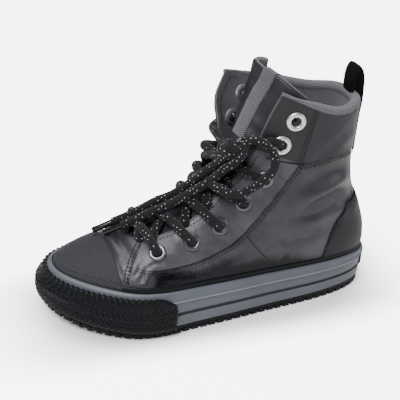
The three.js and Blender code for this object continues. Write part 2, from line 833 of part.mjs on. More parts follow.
// Panel under the two top eyelets, from the cuff seam to the collar
function topPanelGeometry(side) {
  const rows = steps(panelRows).map((share) => {
    const front = lerp(panelStart, panelEnd, share);
    const back = lerp(panelBackStart, panelEnd, share);
    const from = throatAngle(front) + edgeInset;
    const to = lerp(panelBackLow, panelBackHigh, share);
    return steps(panelSteps).map((across) => [lerp(front, back, across), side * lerp(from, to, across)]);
  });
  return pierced(overlayGeometry([{ rows, flip: side < 0 }]), topEyelets, side);
}

// Counter round the heel, from its seam down to the rand
function counterGeometry() {
  const low = aboveRim(overlayClear + randHeight + seatGap);
  const end = levelEnds(low)[1];
  const fronts = columnOf(counterColumns, counterRows, "section");
  const angles = columnOf(counterColumns, counterRows, "angle");
  const sections = sectionsBetween(fronts[0], fronts[fronts.length - 1]);
  sections.push(...counterTurn.map((before) => end - before), end);
  sections.sort((one, other) => one - other);
  const grids = bothSides((side) => sections.map((s) => {
    const bottom = s >= end ? Math.PI : levelAngle(s, low, side);
    return gridRow(s, side, Math.min(tableValue(fronts, angles, s), bottom), bottom, counterSteps);
  }));
  return overlayGeometry(grids, overlayWall, overlayGap + counterLift);
}

// Tongue: a padded sheet inside the throat, rising past the collar
function tonguePlace(s, a, out) {
  const within = Math.min(s, lastSection);
  const sag = tongueSag * Math.cos(a - tongueTurn) ** 2 * smooth(tongueSagStart, lastSection, s);
  const place = overLast(within, a, out - wallAt(within, a) - tongueClear - sag, 0);
  const rise = s - within;
  return place.add(new THREE.Vector3(tongueLean * rise, 0, tongueRise * rise));
}
const tongueTop = (a) => tongueCrest * (1 - (a / tongueLateral) ** 2) - tongueSlope * a;
function tongueGeometry() {
  const sections = steps(tongueRows).map((share) => lerp(tongueStart, lastSection + 1, share));
  const rows = sections.map((s) => {
    const share = smooth(tongueStart, tongueWideAt, s);
    const medial = lerp(tongueLow, tongueMedial, share);
    const lateral = lerp(tongueLow, tongueLateral, share);
    return steps(tongueSteps).map((across) => [s, lerp(-medial, lateral, across)]);
  });
  const face = (s, a, depth) => {
    const top = s > lastSection ? tongueTop(a) : 0;
    return tonguePlace(s, a, depth ? -tongueWall : 0).add(new THREE.Vector3(0, 0, top * (s - lastSection)));
  };
  return wallGeometry([{ rows, flip: false }], face);
}

// Webbing ribbon on the tongue's face, bare
function ribbonGeometry() {
  const rows = steps(ribbonSteps).map((share) => {
    const s = lerp(ribbonStart, lastSection + ribbonRise, share);
    const half = ribbonWidth / 2 / (sectionValue("half", s) * ballWidth);
    return steps(2).map((across) => [s, ribbonShift + lerp(-half, half, across)]);
  });
  const face = (s, a, depth) => {
    const top = s > lastSection ? tongueTop(a) : 0;
    const out = curveGap + (depth ? 0 : ribbonWall);
    return tonguePlace(s, a, out).add(new THREE.Vector3(0, 0, top * Math.max(0, s - lastSection)));
  };
  return wallGeometry([{ rows, flip: false }], face);
}

// Pull loop: a strip of webbing bowed over the collar at the back seam
function pullLoopGeometry() {
  const foot = overLast(loopFoot, Math.PI, seatGap + loopWall);
  const collar = overLast(lastSection, Math.PI, 0);
  const middle = loopRows.map(([along, up]) => new THREE.Vector2(collar.x + along, collar.z + up));
  middle[0] = new THREE.Vector2(foot.x, foot.z);
  const curve = new THREE.SplineCurve(middle);
  const points = curve.getPoints(loopSteps);
  const sides = points.map((point, k) => {
    const before = points[Math.max(0, k - 1)];
    const after = points[Math.min(points.length - 1, k + 1)];
    const across = after.clone().sub(before).normalize();
    return new THREE.Vector2(-across.y, across.x).multiplyScalar(loopWall / 2);
  });
  const left = points.map((point, k) => point.clone().add(sides[k]));
  const right = points.map((point, k) => point.clone().sub(sides[k])).reverse();
  const shape = new THREE.Shape([...left, ...right]);
  const strip = new THREE.ExtrudeGeometry(shape, { depth: loopWidth, bevelEnabled: false });
  return strip.rotateX(Math.PI / 2).translate(0, loopWidth / 2, 0);
}

// Cords: a round tube along hand-set points
function tubeGeometry(points, width, count, sides) {
  const section = new THREE.Shape();
  section.absarc(0, 0, width / 2, 0, 2 * Math.PI);
  const path = new THREE.CatmullRomCurve3(points);
  return new THREE.ExtrudeGeometry(section, {
    steps: count,
    curveSegments: sides / 2,
    bevelEnabled: false,
    extrudePath: path,
  });
}

// Lace over the throat: two strands that cross between the eyelets, joined where they cross
function laceBarsGeometry() {
  const strand = (first) => {
    const points = [];
    lowEyelets.forEach((row, k) => {
      const side = k % 2 ? -first : first;
      const { section, angle } = eyeletPlace(row, side);
      points.push(overLast(section, angle, laceOverEyelet));
      const next = lowEyelets[k + 1];
      if (!next) return;
      const other = eyeletPlace(next, -side);
      for (const share of laceShares) {
        const s = lerp(section, other.section, share);
        points.push(overLast(s, lerp(angle, other.angle, share), laceOverThroat));
      }
    });
    return tubeGeometry(points, laceWidth, laceSteps, laceSides);
  };
  return geometryOf(solidOf(strand(1)).add(solidOf(strand(-1))));
}

// Knot and loose lace: places along, across and up from the middle of the shoe, in order along each cord
const knotColumns = ["x", "y", "z"];
const knotRows = [
  [-8.3, 19.4, 138.7],
  [-4.3, 17.4, 134.2],
  [-0.3, 15.9, 129.2],
];
const loopCordRows = [
  [-9.3, 20, 140.1],
  [-16.5, 26, 143],
  [-22.5, 29, 141],
  [-27.6, 33, 136],
  [-28.6, 36.7, 130.4],
  [-24.7, 40, 123.3],
  [-18.7, 39.5, 116.8],
  [-11.2, 39, 112.3],
];
const endRows = [
  [
    [5, 16.5, 125],
    [14.5, 12, 115],
    [23.5, 7.5, 105],
    [34, 2, 94.5],
    [46, -1.7, 88.2],
    [56, -7, 80],
    [65, -11.5, 73],
    [74.5, -14, 68.3],
  ],
  [
    [4, 21.5, 120.5],
    [11, 19, 112],
    [21, 15.5, 104.2],
    [32.5, 12, 95.4],
    [44, 8, 88.3],
    [54, 4, 82],
    [62, 0.5, 76.5],
    [70, -3.5, 71],
  ],
];
const cordPoint = (row) => {
  const at = (name) => row[knotColumns.indexOf(name)];
  return new THREE.Vector3(at("x") + soleLength / 2, at("y"), at("z"));
};
const cordGeometry = (rows, count) => tubeGeometry(rows.map(cordPoint), laceWidth, count, laceSides);
function knotGeometry() {
  return tubeGeometry(knotRows.map(cordPoint), knotWidth, knotRows.length * 2, laceSides);
}
function agletGeometry(rows) {
  const tip = cordPoint(rows[rows.length - 1]);
  const before = cordPoint(rows[rows.length - 2]);
  const along = tip.clone().sub(before).normalize();
  const turn = new THREE.Quaternion().setFromUnitVectors(new THREE.Vector3(0, 1, 0), along);
  const middle = tip.clone().addScaledVector(along, seatGap + agletLength / 2);
  const rod = new THREE.CylinderGeometry(agletWidth / 2, agletWidth / 2, agletLength, laceSides);
  return rod.applyQuaternion(turn).translate(middle.x, middle.y, middle.z);
}

const boot = new THREE.Group();
function addPart(name, geometry, material) {
  const shown = geometry.clone();
  shown.translate(-soleLength / 2, 0, 0);
  const mesh = new THREE.Mesh(shown, materials[material]);
  mesh.name = name;
  boot.add(mesh);
}

addPart("outsole", outsoleGeometry(), "blackRubber");
addPart("midsole", cupGeometry(cupRings), "greyRubber");
addPart("toe_bumper", bumperGeometry(), "blackRubber");
addPart("heel_label", heelLabelGeometry(), "blackRubber");
addPart("insole", insoleGeometry(), "insoleCloth");
addPart("upper", pierced(pierced(upperShell(), eyeletRows, 1), eyeletRows, -1), "leather");
addPart("toe_cap", toeCapGeometry(), "blackRubber");
addPart("rand", randGeometry(), "blackRubber");
addPart("heel_counter", counterGeometry(), "leather");
addPart("tongue", tongueGeometry(), "leather");
addPart("tongue_ribbon", ribbonGeometry(), "greyWebbing");
addPart("pull_loop", pullLoopGeometry(), "webbing");
for (const [sideName, side] of [["lateral", 1], ["medial", -1]]) {
  addPart("eyestay_" + sideName, eyestayGeometry(side), "leather");
  addPart("top_panel_" + sideName, topPanelGeometry(side), "darkLeather");
  eyeletRows.forEach((row, k) => {
    const isTop = row[isTopColumn];
    const ring = onUpper(eyeletGeometry(isTop), eyeletPlace(row, side), overlayTop);
    addPart("eyelet_" + sideName + "_" + (k + 1), ring, isTop ? "silver" : "gunmetal");
  });
}
addPart("lace_bars", laceBarsGeometry(), "lace");
addPart("lace_knot", knotGeometry(), "lace");
addPart("lace_loop", cordGeometry(loopCordRows, loopCordSteps), "lace");
endRows.forEach((rows, k) => {
  addPart("lace_end_" + (k + 1), cordGeometry(rows, endCordSteps), "lace");
  addPart("aglet_" + (k + 1), agletGeometry(rows), "gunmetal");
});

export default boot;
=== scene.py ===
import math

import bpy
import numpy as np
from mathutils import Matrix


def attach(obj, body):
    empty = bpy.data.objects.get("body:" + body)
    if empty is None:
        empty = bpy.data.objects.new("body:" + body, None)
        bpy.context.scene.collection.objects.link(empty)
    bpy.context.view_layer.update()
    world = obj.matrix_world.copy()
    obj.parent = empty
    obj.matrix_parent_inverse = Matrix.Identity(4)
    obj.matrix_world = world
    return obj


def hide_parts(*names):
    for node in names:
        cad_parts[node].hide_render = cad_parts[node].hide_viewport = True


# Left high-top sneaker boot. +X toe, +Y outer side, +Z up, origin on the floor at mid length.
# Shapes are worked out in millimetres and put into the meshes in metres.
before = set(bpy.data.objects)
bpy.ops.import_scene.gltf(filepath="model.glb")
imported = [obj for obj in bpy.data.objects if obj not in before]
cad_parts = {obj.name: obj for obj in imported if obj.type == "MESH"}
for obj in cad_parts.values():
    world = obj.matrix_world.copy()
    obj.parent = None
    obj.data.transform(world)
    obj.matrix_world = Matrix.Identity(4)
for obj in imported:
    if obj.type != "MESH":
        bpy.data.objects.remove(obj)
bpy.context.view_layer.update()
mm = 0.001
print("frame loaded")

# Main sizes and walls of the shoe, in mm
shoe = {
    "soleLength": 265, "ballWidth": 98, "shaftHeight": 179,
    "collarDip": 7, "facingFlare": 23, "facingSpread": 5,
    "upperWall": 2.2, "collarWall": 6.5,
    "heelRim": 31.5, "toeRim": 39.5, "foxingWall": 2.6,
    "lugDepth": 3, "outsoleWall": 3.2, "midsoleFloor": 7,
    "toeSpring": 10, "springStart": 0.69, "toeLean": 6.5, "leanStart": 0.62,
    "seatGap": 0.35,
}
sides = ((1, "lateral"), (-1, "medial"))

# Sections of the last from the toe tip to the collar: ridge and base are a section's front and back ends,
# half and middle its half width and side shift, crown its widest level, top and floor how square it is
lastColumns = ["ridgeX", "ridgeZ", "baseX", "baseZ", "half", "middle", "crown", "top", "floor"]
lastRows = np.array([
    [0.972, 0.156, 0.972, 0.156, 0.0, -0.15, 0.5, 2.0, 2.0],
    [0.964, 0.196, 0.962, 0.118, 0.125, -0.143, 0.42, 2.0, 2.2],
    [0.943, 0.235, 0.936, 0.095, 0.222, -0.127, 0.34, 2.0, 2.6],
    [0.901, 0.275, 0.886, 0.079, 0.318, -0.098, 0.3, 2.0, 3.0],
    [0.843, 0.312, 0.824, 0.073, 0.392, -0.057, 0.29, 2.05, 3.4],
    [0.781, 0.349, 0.751, 0.07, 0.435, -0.016, 0.29, 2.1, 3.6],
    [0.717, 0.388, 0.668, 0.067, 0.438, 0.0, 0.3, 2.15, 3.6],
    [0.649, 0.433, 0.574, 0.065, 0.4, 0.014, 0.32, 2.15, 3.4],
    [0.592, 0.492, 0.457, 0.065, 0.363, 0.026, 0.36, 2.1, 3.0],
    [0.551, 0.564, 0.317, 0.065, 0.344, 0.018, 0.4, 2.1, 2.6],
    [0.519, 0.637, 0.136, 0.067, 0.34, 0.002, 0.44, 2.1, 2.4],
    [0.494, 0.709, 0.025, 0.15, 0.34, 0.0, 0.48, 2.1, 2.3],
    [0.475, 0.777, 0.013, 0.257, 0.332, 0.0, 0.5, 2.1, 2.3],
    [0.458, 0.838, 0.038, 0.38, 0.322, 0.0, 0.5, 2.1, 2.3],
    [0.445, 0.894, 0.078, 0.514, 0.316, 0.0, 0.5, 2.1, 2.3],
    [0.434, 0.95, 0.091, 0.698, 0.32, 0.0, 0.5, 2.1, 2.3],
    [0.423, 1.0, 0.09, 0.894, 0.326, 0.0, 0.5, 2.1, 2.3],
])
topSection = len(lastRows) - 1
lastPadded = np.vstack([2 * lastRows[0] - lastRows[1], lastRows, 2 * lastRows[-1] - lastRows[-2]])
throatSections = [5.3, 5.55, 6.0, 7.0, 8.0, 10.0, 11.5, 13.0, 14.5, 16.0]
throatOpenings = [0.0, 0.22, 0.36, 0.43, 0.48, 0.53, 0.61, 0.69, 0.76, 0.86]

# Eyelets of one side: section, angle behind the throat's edge, whether it is one of the bright top ones
eyeletRows = [
    (6.1, 0.31, False), (7.4, 0.35, False), (8.6, 0.37, False), (9.85, 0.32, False), (11.25, 0.31, False),
    (13.55, 0.3, True), (15.15, 0.37, True),
]


def lerp(low, high, share):
    return low + (high - low) * share


def smooth(low, high, value):
    share = np.clip((np.asarray(value, float) - low) / (high - low), 0, 1)
    return share * share * (3 - 2 * share)


def unit(vectors):
    return vectors / np.maximum(np.linalg.norm(vectors, axis=-1, keepdims=True), 1e-9)


def curveBetween(a, b, c, d, t):
    # a smooth curve at share t of the way from b to c; a and d are the points before and after them
    return b + 0.5 * t * (c - a + t * (2 * a - 5 * b + 4 * c - d + t * (3 * (b - c) + d - a)))


def walked(points):
    # distance from the first point, or row of points, to each one
    steps = np.linalg.norm(np.diff(points, axis=0), axis=-1)
    return np.concatenate([0 * steps[:1], steps]).cumsum(0)


def resample(rows, known, places):
    # the columns of rows, given at the known values, read at other places
    return np.stack([np.interp(places, known, column) for column in rows.T], -1)


def roundOff(near):
    # a quarter round that rises from 0 to 1
    return np.sqrt(1 - (1 - np.clip(near, 0, 1)) ** 2)


def sectionValue(name, s):
    # a smooth curve through the rows of one column, at section s
    column = lastPadded[:, lastColumns.index(name)]
    k = np.clip(np.floor(s).astype(int), 0, topSection - 1)
    return curveBetween(column[k], column[k + 1], column[k + 2], column[k + 3], np.clip(s - k, 0, 1))


def throatAngle(s):
    return np.where(np.asarray(s) <= throatSections[0], 0, np.interp(s, throatSections, throatOpenings))


def lastPoint(s, a, flare=1):
    # section s is a super-ellipse; a runs from its ridge (0) round the outer side to its base (pi), and
    # round the inner side below 0
    s, a = np.broadcast_arrays(np.asarray(s, float), np.asarray(a, float))
    a = np.where(a > np.pi, a - 2 * np.pi, a)
    crown = sectionValue("crown", s)
    power = np.where(np.cos(a) > 0, sectionValue("top", s), sectionValue("floor", s))
    reach = (np.abs(np.cos(a)) ** power + np.abs(np.sin(a)) ** power) ** (-1 / power)
    rise = reach * np.cos(a)
    up = crown + rise * np.where(rise > 0, 1 - crown, crown)
    side = reach * np.sin(a)
    x = lerp(sectionValue("baseX", s), sectionValue("ridgeX", s), up) * shoe["soleLength"]
    z = lerp(sectionValue("baseZ", s), sectionValue("ridgeZ", s), up) * shoe["shaftHeight"]
    y = (sectionValue("middle", s) + np.maximum(sectionValue("half", s), 0) * side) * shoe["ballWidth"]
    # the collar dips at the sides of the ankle, and the inner facing swings open
    dip = 1.8 * shoe["collarDip"] * smooth(12.5, topSection, s) * side**4 * (1 - up)
    opened = flare * np.where(a < 0, smooth(9.5, 15, s) * smooth(-1.9, -0.7, a), 0)
    x = x + shoe["facingFlare"] * opened - shoe["soleLength"] / 2
    return np.stack([x, y - shoe["facingSpread"] * opened, z - dip], -1)


def lastNormal(s, a, flare=1):
    step = 0.02
    s = np.clip(s, 0.12, topSection - step)
    alongS = lastPoint(s + step, a, flare) - lastPoint(s - step, a, flare)
    alongA = lastPoint(s, a + step, flare) - lastPoint(s, a - step, flare)
    return unit(np.cross(alongA, alongS))


def overLast(s, a, out, flare=1):
    return lastPoint(s, a, flare) + lastNormal(s, a, flare) * np.asarray(out, float)[..., None]


def springHeight(x):
    # how far the sole curves up from the floor towards the toe
    share = x / shoe["soleLength"] + 0.5
    return shoe["toeSpring"] * np.maximum(0, (share - shoe["springStart"]) / (1 - shoe["springStart"])) ** 2


def rimHeight(x):
    return lerp(shoe["heelRim"], shoe["toeRim"], np.clip(x / shoe["soleLength"] + 0.5, 0, 1))


def foxingBase(x):
    return shoe["lugDepth"] + shoe["outsoleWall"] + shoe["seatGap"] + springHeight(x)


def floorHeight(x):
    return foxingBase(x) + shoe["midsoleFloor"]


def featherHeight(x):
    return floorHeight(x) + shoe["seatGap"]


def aboveRim(rise):
    return lambda x: rimHeight(x) + rise


def levelAngle(s, height, side):
    # halving search for the angle where section s comes down to a level
    low, high = np.zeros(np.shape(s)), np.full(np.shape(s), np.pi)
    for _ in range(34):
        middle = (low + high) / 2
        point = lastPoint(s, middle * side)
        above = point[..., 2] > height(point[..., 0])
        low, high = np.where(above, middle, low), np.where(above, high, middle)
    return (low + high) / 2


def levelEnds(height):
    # first and last section that reach a level
    s = np.linspace(0, 14, 14001)
    top, base = lastPoint(s, 0 * s), lastPoint(s, 0 * s + np.pi)
    crosses = (top[:, 2] > height(top[:, 0])) & (base[:, 2] < height(base[:, 0]))
    return s[crosses][0], s[crosses][-1]


# Creases and swells: depth and width in mm, then places as (section, angle) on the outer side.
# A swell has a negative depth.
creaseRows = [
    (3.4, 6.8, [(10.7, 1.44), (11.7, 1.64), (12.8, 1.92), (13.5, 2.4)]),
    (-2.2, 7.0, [(11.6, 1.40), (12.5, 1.64), (13.5, 1.95), (14.2, 2.4)]),
    (2.2, 6.5, [(9.7, 1.42), (10.5, 1.64), (11.4, 1.84)]),
    (0.8, 3.0, [(6.25, 0.8), (6.5, 0.93), (6.75, 1.03)]),
    (0.8, 3.2, [(7.0, 0.78), (7.1, 0.9), (7.5, 1.08)]),
    (0.7, 3.0, [(8.1, 0.8), (8.2, 0.93), (8.5, 1.1)]),
    (0.9, 4.0, [(7.6, 1.2), (8.4, 1.32), (9.0, 1.38)]),
    (0.9, 3.5, [(6.4, 1.1), (7.2, 1.24), (8.1, 1.34)]),
    (0.55, 3.2, [(5.15, -0.6), (4.95, 0.0), (5.1, 0.55)]),
    (0.5, 3.4, [(5.5, 0.75), (5.25, 0.95), (5.15, 1.1)]),
    (-0.5, 3.5, [(4.75, -0.7), (4.7, 0.0), (4.72, 0.7)]),
    (0.55, 1.7, [(5.1, 1.07), (5.3, 0.97), (5.45, 0.88)]),
    (0.5, 1.6, [(5.35, 1.12), (5.5, 1.03), (5.62, 0.95)]),
    (0.45, 1.5, [(4.95, 0.95), (5.15, 0.86), (5.3, 0.77)]),
    (0.4, 1.6, [(5.5, 0.86), (5.8, 0.83), (6.1, 0.86)]),
    (0.45, 1.8, [(4.72, 0.5), (4.82, 0.7), (4.86, 0.9)]),
    (0.5, 2.0, [(5.85, 1.02), (6.3, 1.09), (6.9, 1.16)]),
    (0.4, 1.7, [(5.9, 0.52), (6.0, 0.8), (6.3, 0.95)]),
    (0.5, 2.4, [(7.4, 0.62), (7.45, 0.7), (7.5, 0.95)]),
    (0.5, 3, [(6.9, 0.62), (7.5, 0.98), (8.0, 1.1)]),
    (0.5, 3, [(9.2, 0.72), (9.4, 0.95), (9.3, 1.08)]),
    (0.45, 3, [(10.5, 0.72), (10.5, 0.92), (10.3, 1.05)]),
    (0.6, 5, [(14.9, 2.0), (15.0, 2.4), (14.8, 2.8)]),
    (0.5, 5, [(14.2, 1.65), (14.9, 1.85), (15.5, 2.2)]),
]


def reliefAt(points):
    # each crease is a soft trough round a polyline, with a low swell either side of it
    relief = np.zeros(points.shape[:-1])
    for depth, width, places in creaseRows:
        places = np.array(places)
        for side in (1, -1):
            path = lastPoint(places[:, 0], side * places[:, 1])
            nearest = np.full(points.shape[:-1], 1e9)
            fade = np.zeros(points.shape[:-1])
            for k in range(len(path) - 1):
                along = path[k + 1] - path[k]
                share = np.clip(((points - path[k]) @ along) / (along @ along), 0, 1)
                distance = np.linalg.norm(points - path[k] - share[..., None] * along, axis=-1)
                place = (k + share) / (len(path) - 1)
                fade = np.where(distance < nearest, np.sin(np.pi * np.clip(place, 0.06, 0.94)) ** 0.6, fade)
                nearest = np.minimum(nearest, distance)
            trough = np.exp(-((nearest / width) ** 2))
            swell = 0.45 * np.exp(-(((nearest - 1.7 * width) / width) ** 2))
            relief += depth * fade * (swell - trough)
    return relief


def onUpper(s, a, out):
    # a point out from the upper's surface, creases and all
    base = lastPoint(s, a)
    return base + lastNormal(s, a) * (np.asarray(out, float) + reliefAt(base))[..., None]


def wallAt(s, a):
    # the upper's wall: thin at the facings, padded round the collar
    start = throatAngle(s)
    padded = smooth(13.4, 15.2, s) * smooth(start + 0.15, start + 0.75, np.abs(a))
    return lerp(shoe["upperWall"], shoe["collarWall"], padded)


# Meshes


def weld(points):
    keys = np.round(points / 0.004).astype(np.int64)
    _, first, inverse = np.unique(keys, axis=0, return_index=True, return_inverse=True)
    return first, inverse.reshape(-1)


def gridTriangles(rows, columns, offset, keep, flip):
    ids = np.arange(rows * columns).reshape(rows, columns) + offset
    a, b, c, d = ids[:-1, :-1], ids[:-1, 1:], ids[1:, 1:], ids[1:, :-1]
    if flip:
        b, d = d, b
    both = np.stack([np.stack([a, b, c], -1), np.stack([a, c, d], -1)], 2)
    return both[keep].reshape(-1, 3) if keep is not None else both.reshape(-1, 3)


def wholeFaces(faces):
    # which triangles have three different corners
    return (faces[:, 0] != faces[:, 1]) & (faces[:, 1] != faces[:, 2]) & (faces[:, 2] != faces[:, 0])


def layer(outer, inner=None, flip=False, uv=None, keep=None):
    # one patch for solidFrom: grids of outer and inner points, uv in mm and the squares to keep
    uv = loftUv(outer) if uv is None else uv
    return {"outer": outer, "inner": inner, "flip": flip, "uv": uv, "keep": keep}


def solidFrom(patches):
    # one mesh from patches welded together; edges that no other face shares are walled
    outer = np.concatenate([p["outer"].reshape(-1, 3) for p in patches])
    uv = np.concatenate([p["uv"].reshape(-1, 2) for p in patches])
    triangles, offset = [], 0
    for p in patches:
        rows, columns = p["outer"].shape[:2]
        triangles.append(gridTriangles(rows, columns, offset, p["keep"], p["flip"]))
        offset += rows * columns
    triangles = np.concatenate(triangles)
    first, inverse = weld(outer)
    faces = inverse[triangles]
    good = wholeFaces(faces)
    faces, corners = faces[good], uv[triangles[good]]
    points = outer[first]
    if patches[0]["inner"] is None:
        return points, faces, corners
    inner = np.concatenate([p["inner"].reshape(-1, 3) for p in patches])[first]
    count = len(points)
    edges, edgeUv = (np.concatenate([of[:, [0, 1]], of[:, [1, 2]], of[:, [2, 0]]]) for of in (faces, corners))
    lone = ~np.isin(edges[:, 0] * count + edges[:, 1], edges[:, 1] * count + edges[:, 0])
    start, end, u = edges[lone, 0], edges[lone, 1], edgeUv[lone]
    walls = np.concatenate([
        np.stack([end, start, start + count], -1),
        np.stack([end, start + count, end + count], -1),
    ])
    wallUv = np.concatenate([u[:, [1, 0, 0]], u[:, [1, 0, 1]]])
    faces = np.concatenate([faces, faces[:, ::-1] + count, walls])
    return np.concatenate([points, inner]), faces, np.concatenate([corners, corners[:, ::-1], wallUv])


def addObject(name, data):
    thing = bpy.data.objects.new(name, data)
    bpy.context.scene.collection.objects.link(thing)
    return thing


def meshObject(name, parts, materials, replaced=(), creaseAngle=42):
    # parts are (points, faces, corner uv, material index or one index for each face)
    points = np.concatenate([p[0] for p in parts])
    offsets = np.cumsum([0] + [len(p[0]) for p in parts[:-1]])
    faces = np.concatenate([p[1] + offset for p, offset in zip(parts, offsets)])
    corners = np.concatenate([p[2] for p in parts]).reshape(-1, 2)
    slots = np.concatenate([np.broadcast_to(p[3], len(p[1])) for p in parts]).astype(np.int32)
    mesh = bpy.data.meshes.new(name)
    mesh.vertices.add(len(points))
    mesh.vertices.foreach_set("co", (points * mm).astype(np.float32).ravel())
    mesh.loops.add(len(faces) * 3)
    mesh.loops.foreach_set("vertex_index", faces.astype(np.int32).ravel())
    mesh.polygons.add(len(faces))
    mesh.polygons.foreach_set("loop_start", np.arange(0, len(faces) * 3, 3, dtype=np.int32))
    mesh.polygons.foreach_set("material_index", slots)
    mesh.update(calc_edges=True)
    layer = mesh.uv_layers.new(name="surface")
    layer.data.foreach_set("uv", corners.astype(np.float32).ravel())
    mesh.polygons.foreach_set("use_smooth", np.ones(len(faces), bool))
    mesh.set_sharp_from_angle(angle=math.radians(creaseAngle))
    for material in materials:
        mesh.materials.append(material)
    thing = addObject(name, mesh)
    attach(thing, "root")
    if replaced:
        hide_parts(*replaced)
    return thing


def onePiece(name, patches, material):
    # a piece of one solid and one material, in place of the node of its name
    meshObject(name, [(*solidFrom(patches), 0)], [material], [name])


def edgeSpread(count, near=0.012):
    # shares from 0 to 1, crowded at both ends so that a rounded edge shows
    crowd = near * np.array([0, 0.12, 0.3, 0.6, 1.0])
    return np.concatenate([crowd, np.linspace(2 * near, 1 - 2 * near, count), 1 - crowd[::-1]])


def borderDistance(grid, ends=(True, True, True, True)):
    # distance in mm from each grid point to the nearest border, along the rows and the columns
    rows, columns = walked(grid), walked(grid.swapaxes(0, 1)).T
    borders = [rows, rows[-1:] - rows, columns, columns[:, -1:] - columns]
    return np.min([border for use, border in zip(ends, borders) if use], axis=0)


def laidPatch(s, a, side, lift=0.0, ends=(True, True, True, True), holes=True):
    # a thin overlay on the upper, its top rounded down at the borders
    wall = overlayLook["wall"]
    base = onUpper(s, a, 0 * s)
    outer = onUpper(s, a, lift + wall * (0.25 + 0.75 * roundOff(borderDistance(base, ends) / wall)))
    keep = awayFromEyelets(outer, side) if holes else None
    return layer(outer, onUpper(s, a, -overlayLook["sink"]), side < 0, loftUv(base), keep)


def loftUv(grid):
    # uv in mm: lengths along the middle row and column
    u, v = walked(grid[:, grid.shape[1] // 2]), walked(grid[grid.shape[0] // 2])
    return np.stack(np.broadcast_arrays(u[:, None], v[None, :]), -1)


# Camera: fitted to the photo, with its roll
camera = {
    "azimuth": 156.5, "elevation": 28.3, "roll": 4.12, "distance": 729, "target": (11.5, 0, 85.2),
    "lens": 87.7, "sensor": 36, "clip": (0.05, 20),
}


def turnTo(thing, right, up, back, place):
    # place a camera or a lamp, in metres, so that it looks away from back
    turn = np.eye(4)
    turn[:3] = np.stack([right, up, back, place], -1)
    thing.matrix_world = Matrix(turn.tolist())


def makeCamera():
    azimuth, elevation, roll = (math.radians(camera[key]) for key in ("azimuth", "elevation", "roll"))
    back = np.array([
        math.sin(azimuth) * math.cos(elevation),
        -math.cos(azimuth) * math.cos(elevation),
        math.sin(elevation),
    ])
    right = unit(np.cross(-back, [0, 0, 1]))
    up = np.cross(right, -back)
    data = bpy.data.cameras.new("photoCamera")
    data.sensor_width = camera["sensor"]
    data.lens = camera["lens"]
    data.clip_start, data.clip_end = camera["clip"]
    thing = addObject("photoCamera", data)
    across = right * math.cos(roll) + up * math.sin(roll)
    above = up * math.cos(roll) - right * math.sin(roll)
    turnTo(thing, across, above, back, (np.array(camera["target"]) + camera["distance"] * back) * mm)
    bpy.context.scene.camera = thing


makeCamera()
print("camera placed")


# Materials


def newGroup(name, inputs, outputs):
    # a group with a place to read, numbers with their first values, and the masks and heights it gives
    group = bpy.data.node_groups.new(name, "ShaderNodeTree")
    group.interface.new_socket(name="Vector", in_out="INPUT", socket_type="NodeSocketVector")
    for label, value in inputs.items():
        socket = group.interface.new_socket(name=label, in_out="INPUT", socket_type="NodeSocketFloat")
        socket.default_value = value
    for label in outputs:
        group.interface.new_socket(name=label, in_out="OUTPUT", socket_type="NodeSocketFloat")
    return group, group.nodes.new("NodeGroupInput").outputs, group.nodes.new("NodeGroupOutput").inputs


class Wiring:
    # short ways to add and join nodes of one tree
    def __init__(self, tree):
        self.tree = tree

    def node(self, kind, **values):
        made = self.tree.nodes.new(kind)
        for key, value in values.items():
            if hasattr(made, key):
                setattr(made, key, value)
            else:
                made.inputs[key.replace("_", " ")].default_value = value
        return made

    def join(self, source, target):
        self.tree.links.new(source, target)

    def math(self, operation, first, second=None, third=None):
        made = self.tree.nodes.new("ShaderNodeMath")
        made.operation = operation
        for index, value in enumerate((first, second, third)):
            if value is None:
                continue
            if isinstance(value, (int, float)):
                made.inputs[index].default_value = value
            else:
                self.join(value, made.inputs[index])
        return made.outputs[0]

    def split(self, vector):
        made = self.node("ShaderNodeSeparateXYZ")
        self.join(vector, made.inputs[0])
        return made.outputs

    def plus(self, first, second):
        return self.math("ADD", first, second)

    def minus(self, first, second):
        return self.math("SUBTRACT", first, second)

    def times(self, first, second):
        return self.math("MULTIPLY", first, second)

    def mix(self, share, first, second):
        made = self.node("ShaderNodeMix", data_type="RGBA")
        for socket, value in ((made.inputs[0], share), (made.inputs[6], first), (made.inputs[7], second)):
            if isinstance(value, (int, float)):
                socket.default_value = value
            elif isinstance(value, tuple):
                socket.default_value = (*value, 1)
            else:
                self.join(value, socket)
        return made.outputs[2]

    def noise(self, vector, scale, detail, roughness):
        made = self.node("ShaderNodeTexNoise", Scale=scale, Detail=detail, Roughness=roughness)
        self.join(vector, made.inputs["Vector"])
        return made.outputs[0]

    def ramp(self, value, low, high):
        made = self.node("ShaderNodeMapRange", interpolation_type="SMOOTHSTEP", From_Min=low, From_Max=high)
        self.join(value, made.inputs["Value"])
        return made.outputs[0]


def makeGrainGroup():
    # fine pebbled grain of coated leather and rubber, as a height and a patchy mask
    group, source, result = newGroup("fineGrain", {"Size": 900.0, "Folds": 0.0}, ["Height", "Patches"])
    w = Wiring(group)
    vector = source["Vector"]
    cells = w.node("ShaderNodeTexVoronoi")
    w.join(vector, cells.inputs["Vector"])
    w.join(source["Size"], cells.inputs["Scale"])
    wrinkles = w.noise(vector, 160, 5, 0.6)
    folds = w.math("ABSOLUTE", w.minus(w.noise(vector, 55, 3, 0.5), 0.5))
    folds = w.times(w.ramp(folds, 0.0, 0.07), source["Folds"])
    grain = w.plus(w.times(cells.outputs["Distance"], 0.55), w.times(wrinkles, 0.8))
    w.join(w.plus(grain, folds), result["Height"])
    w.join(w.noise(vector, 26, 4, 0.6), result["Patches"])
    return group


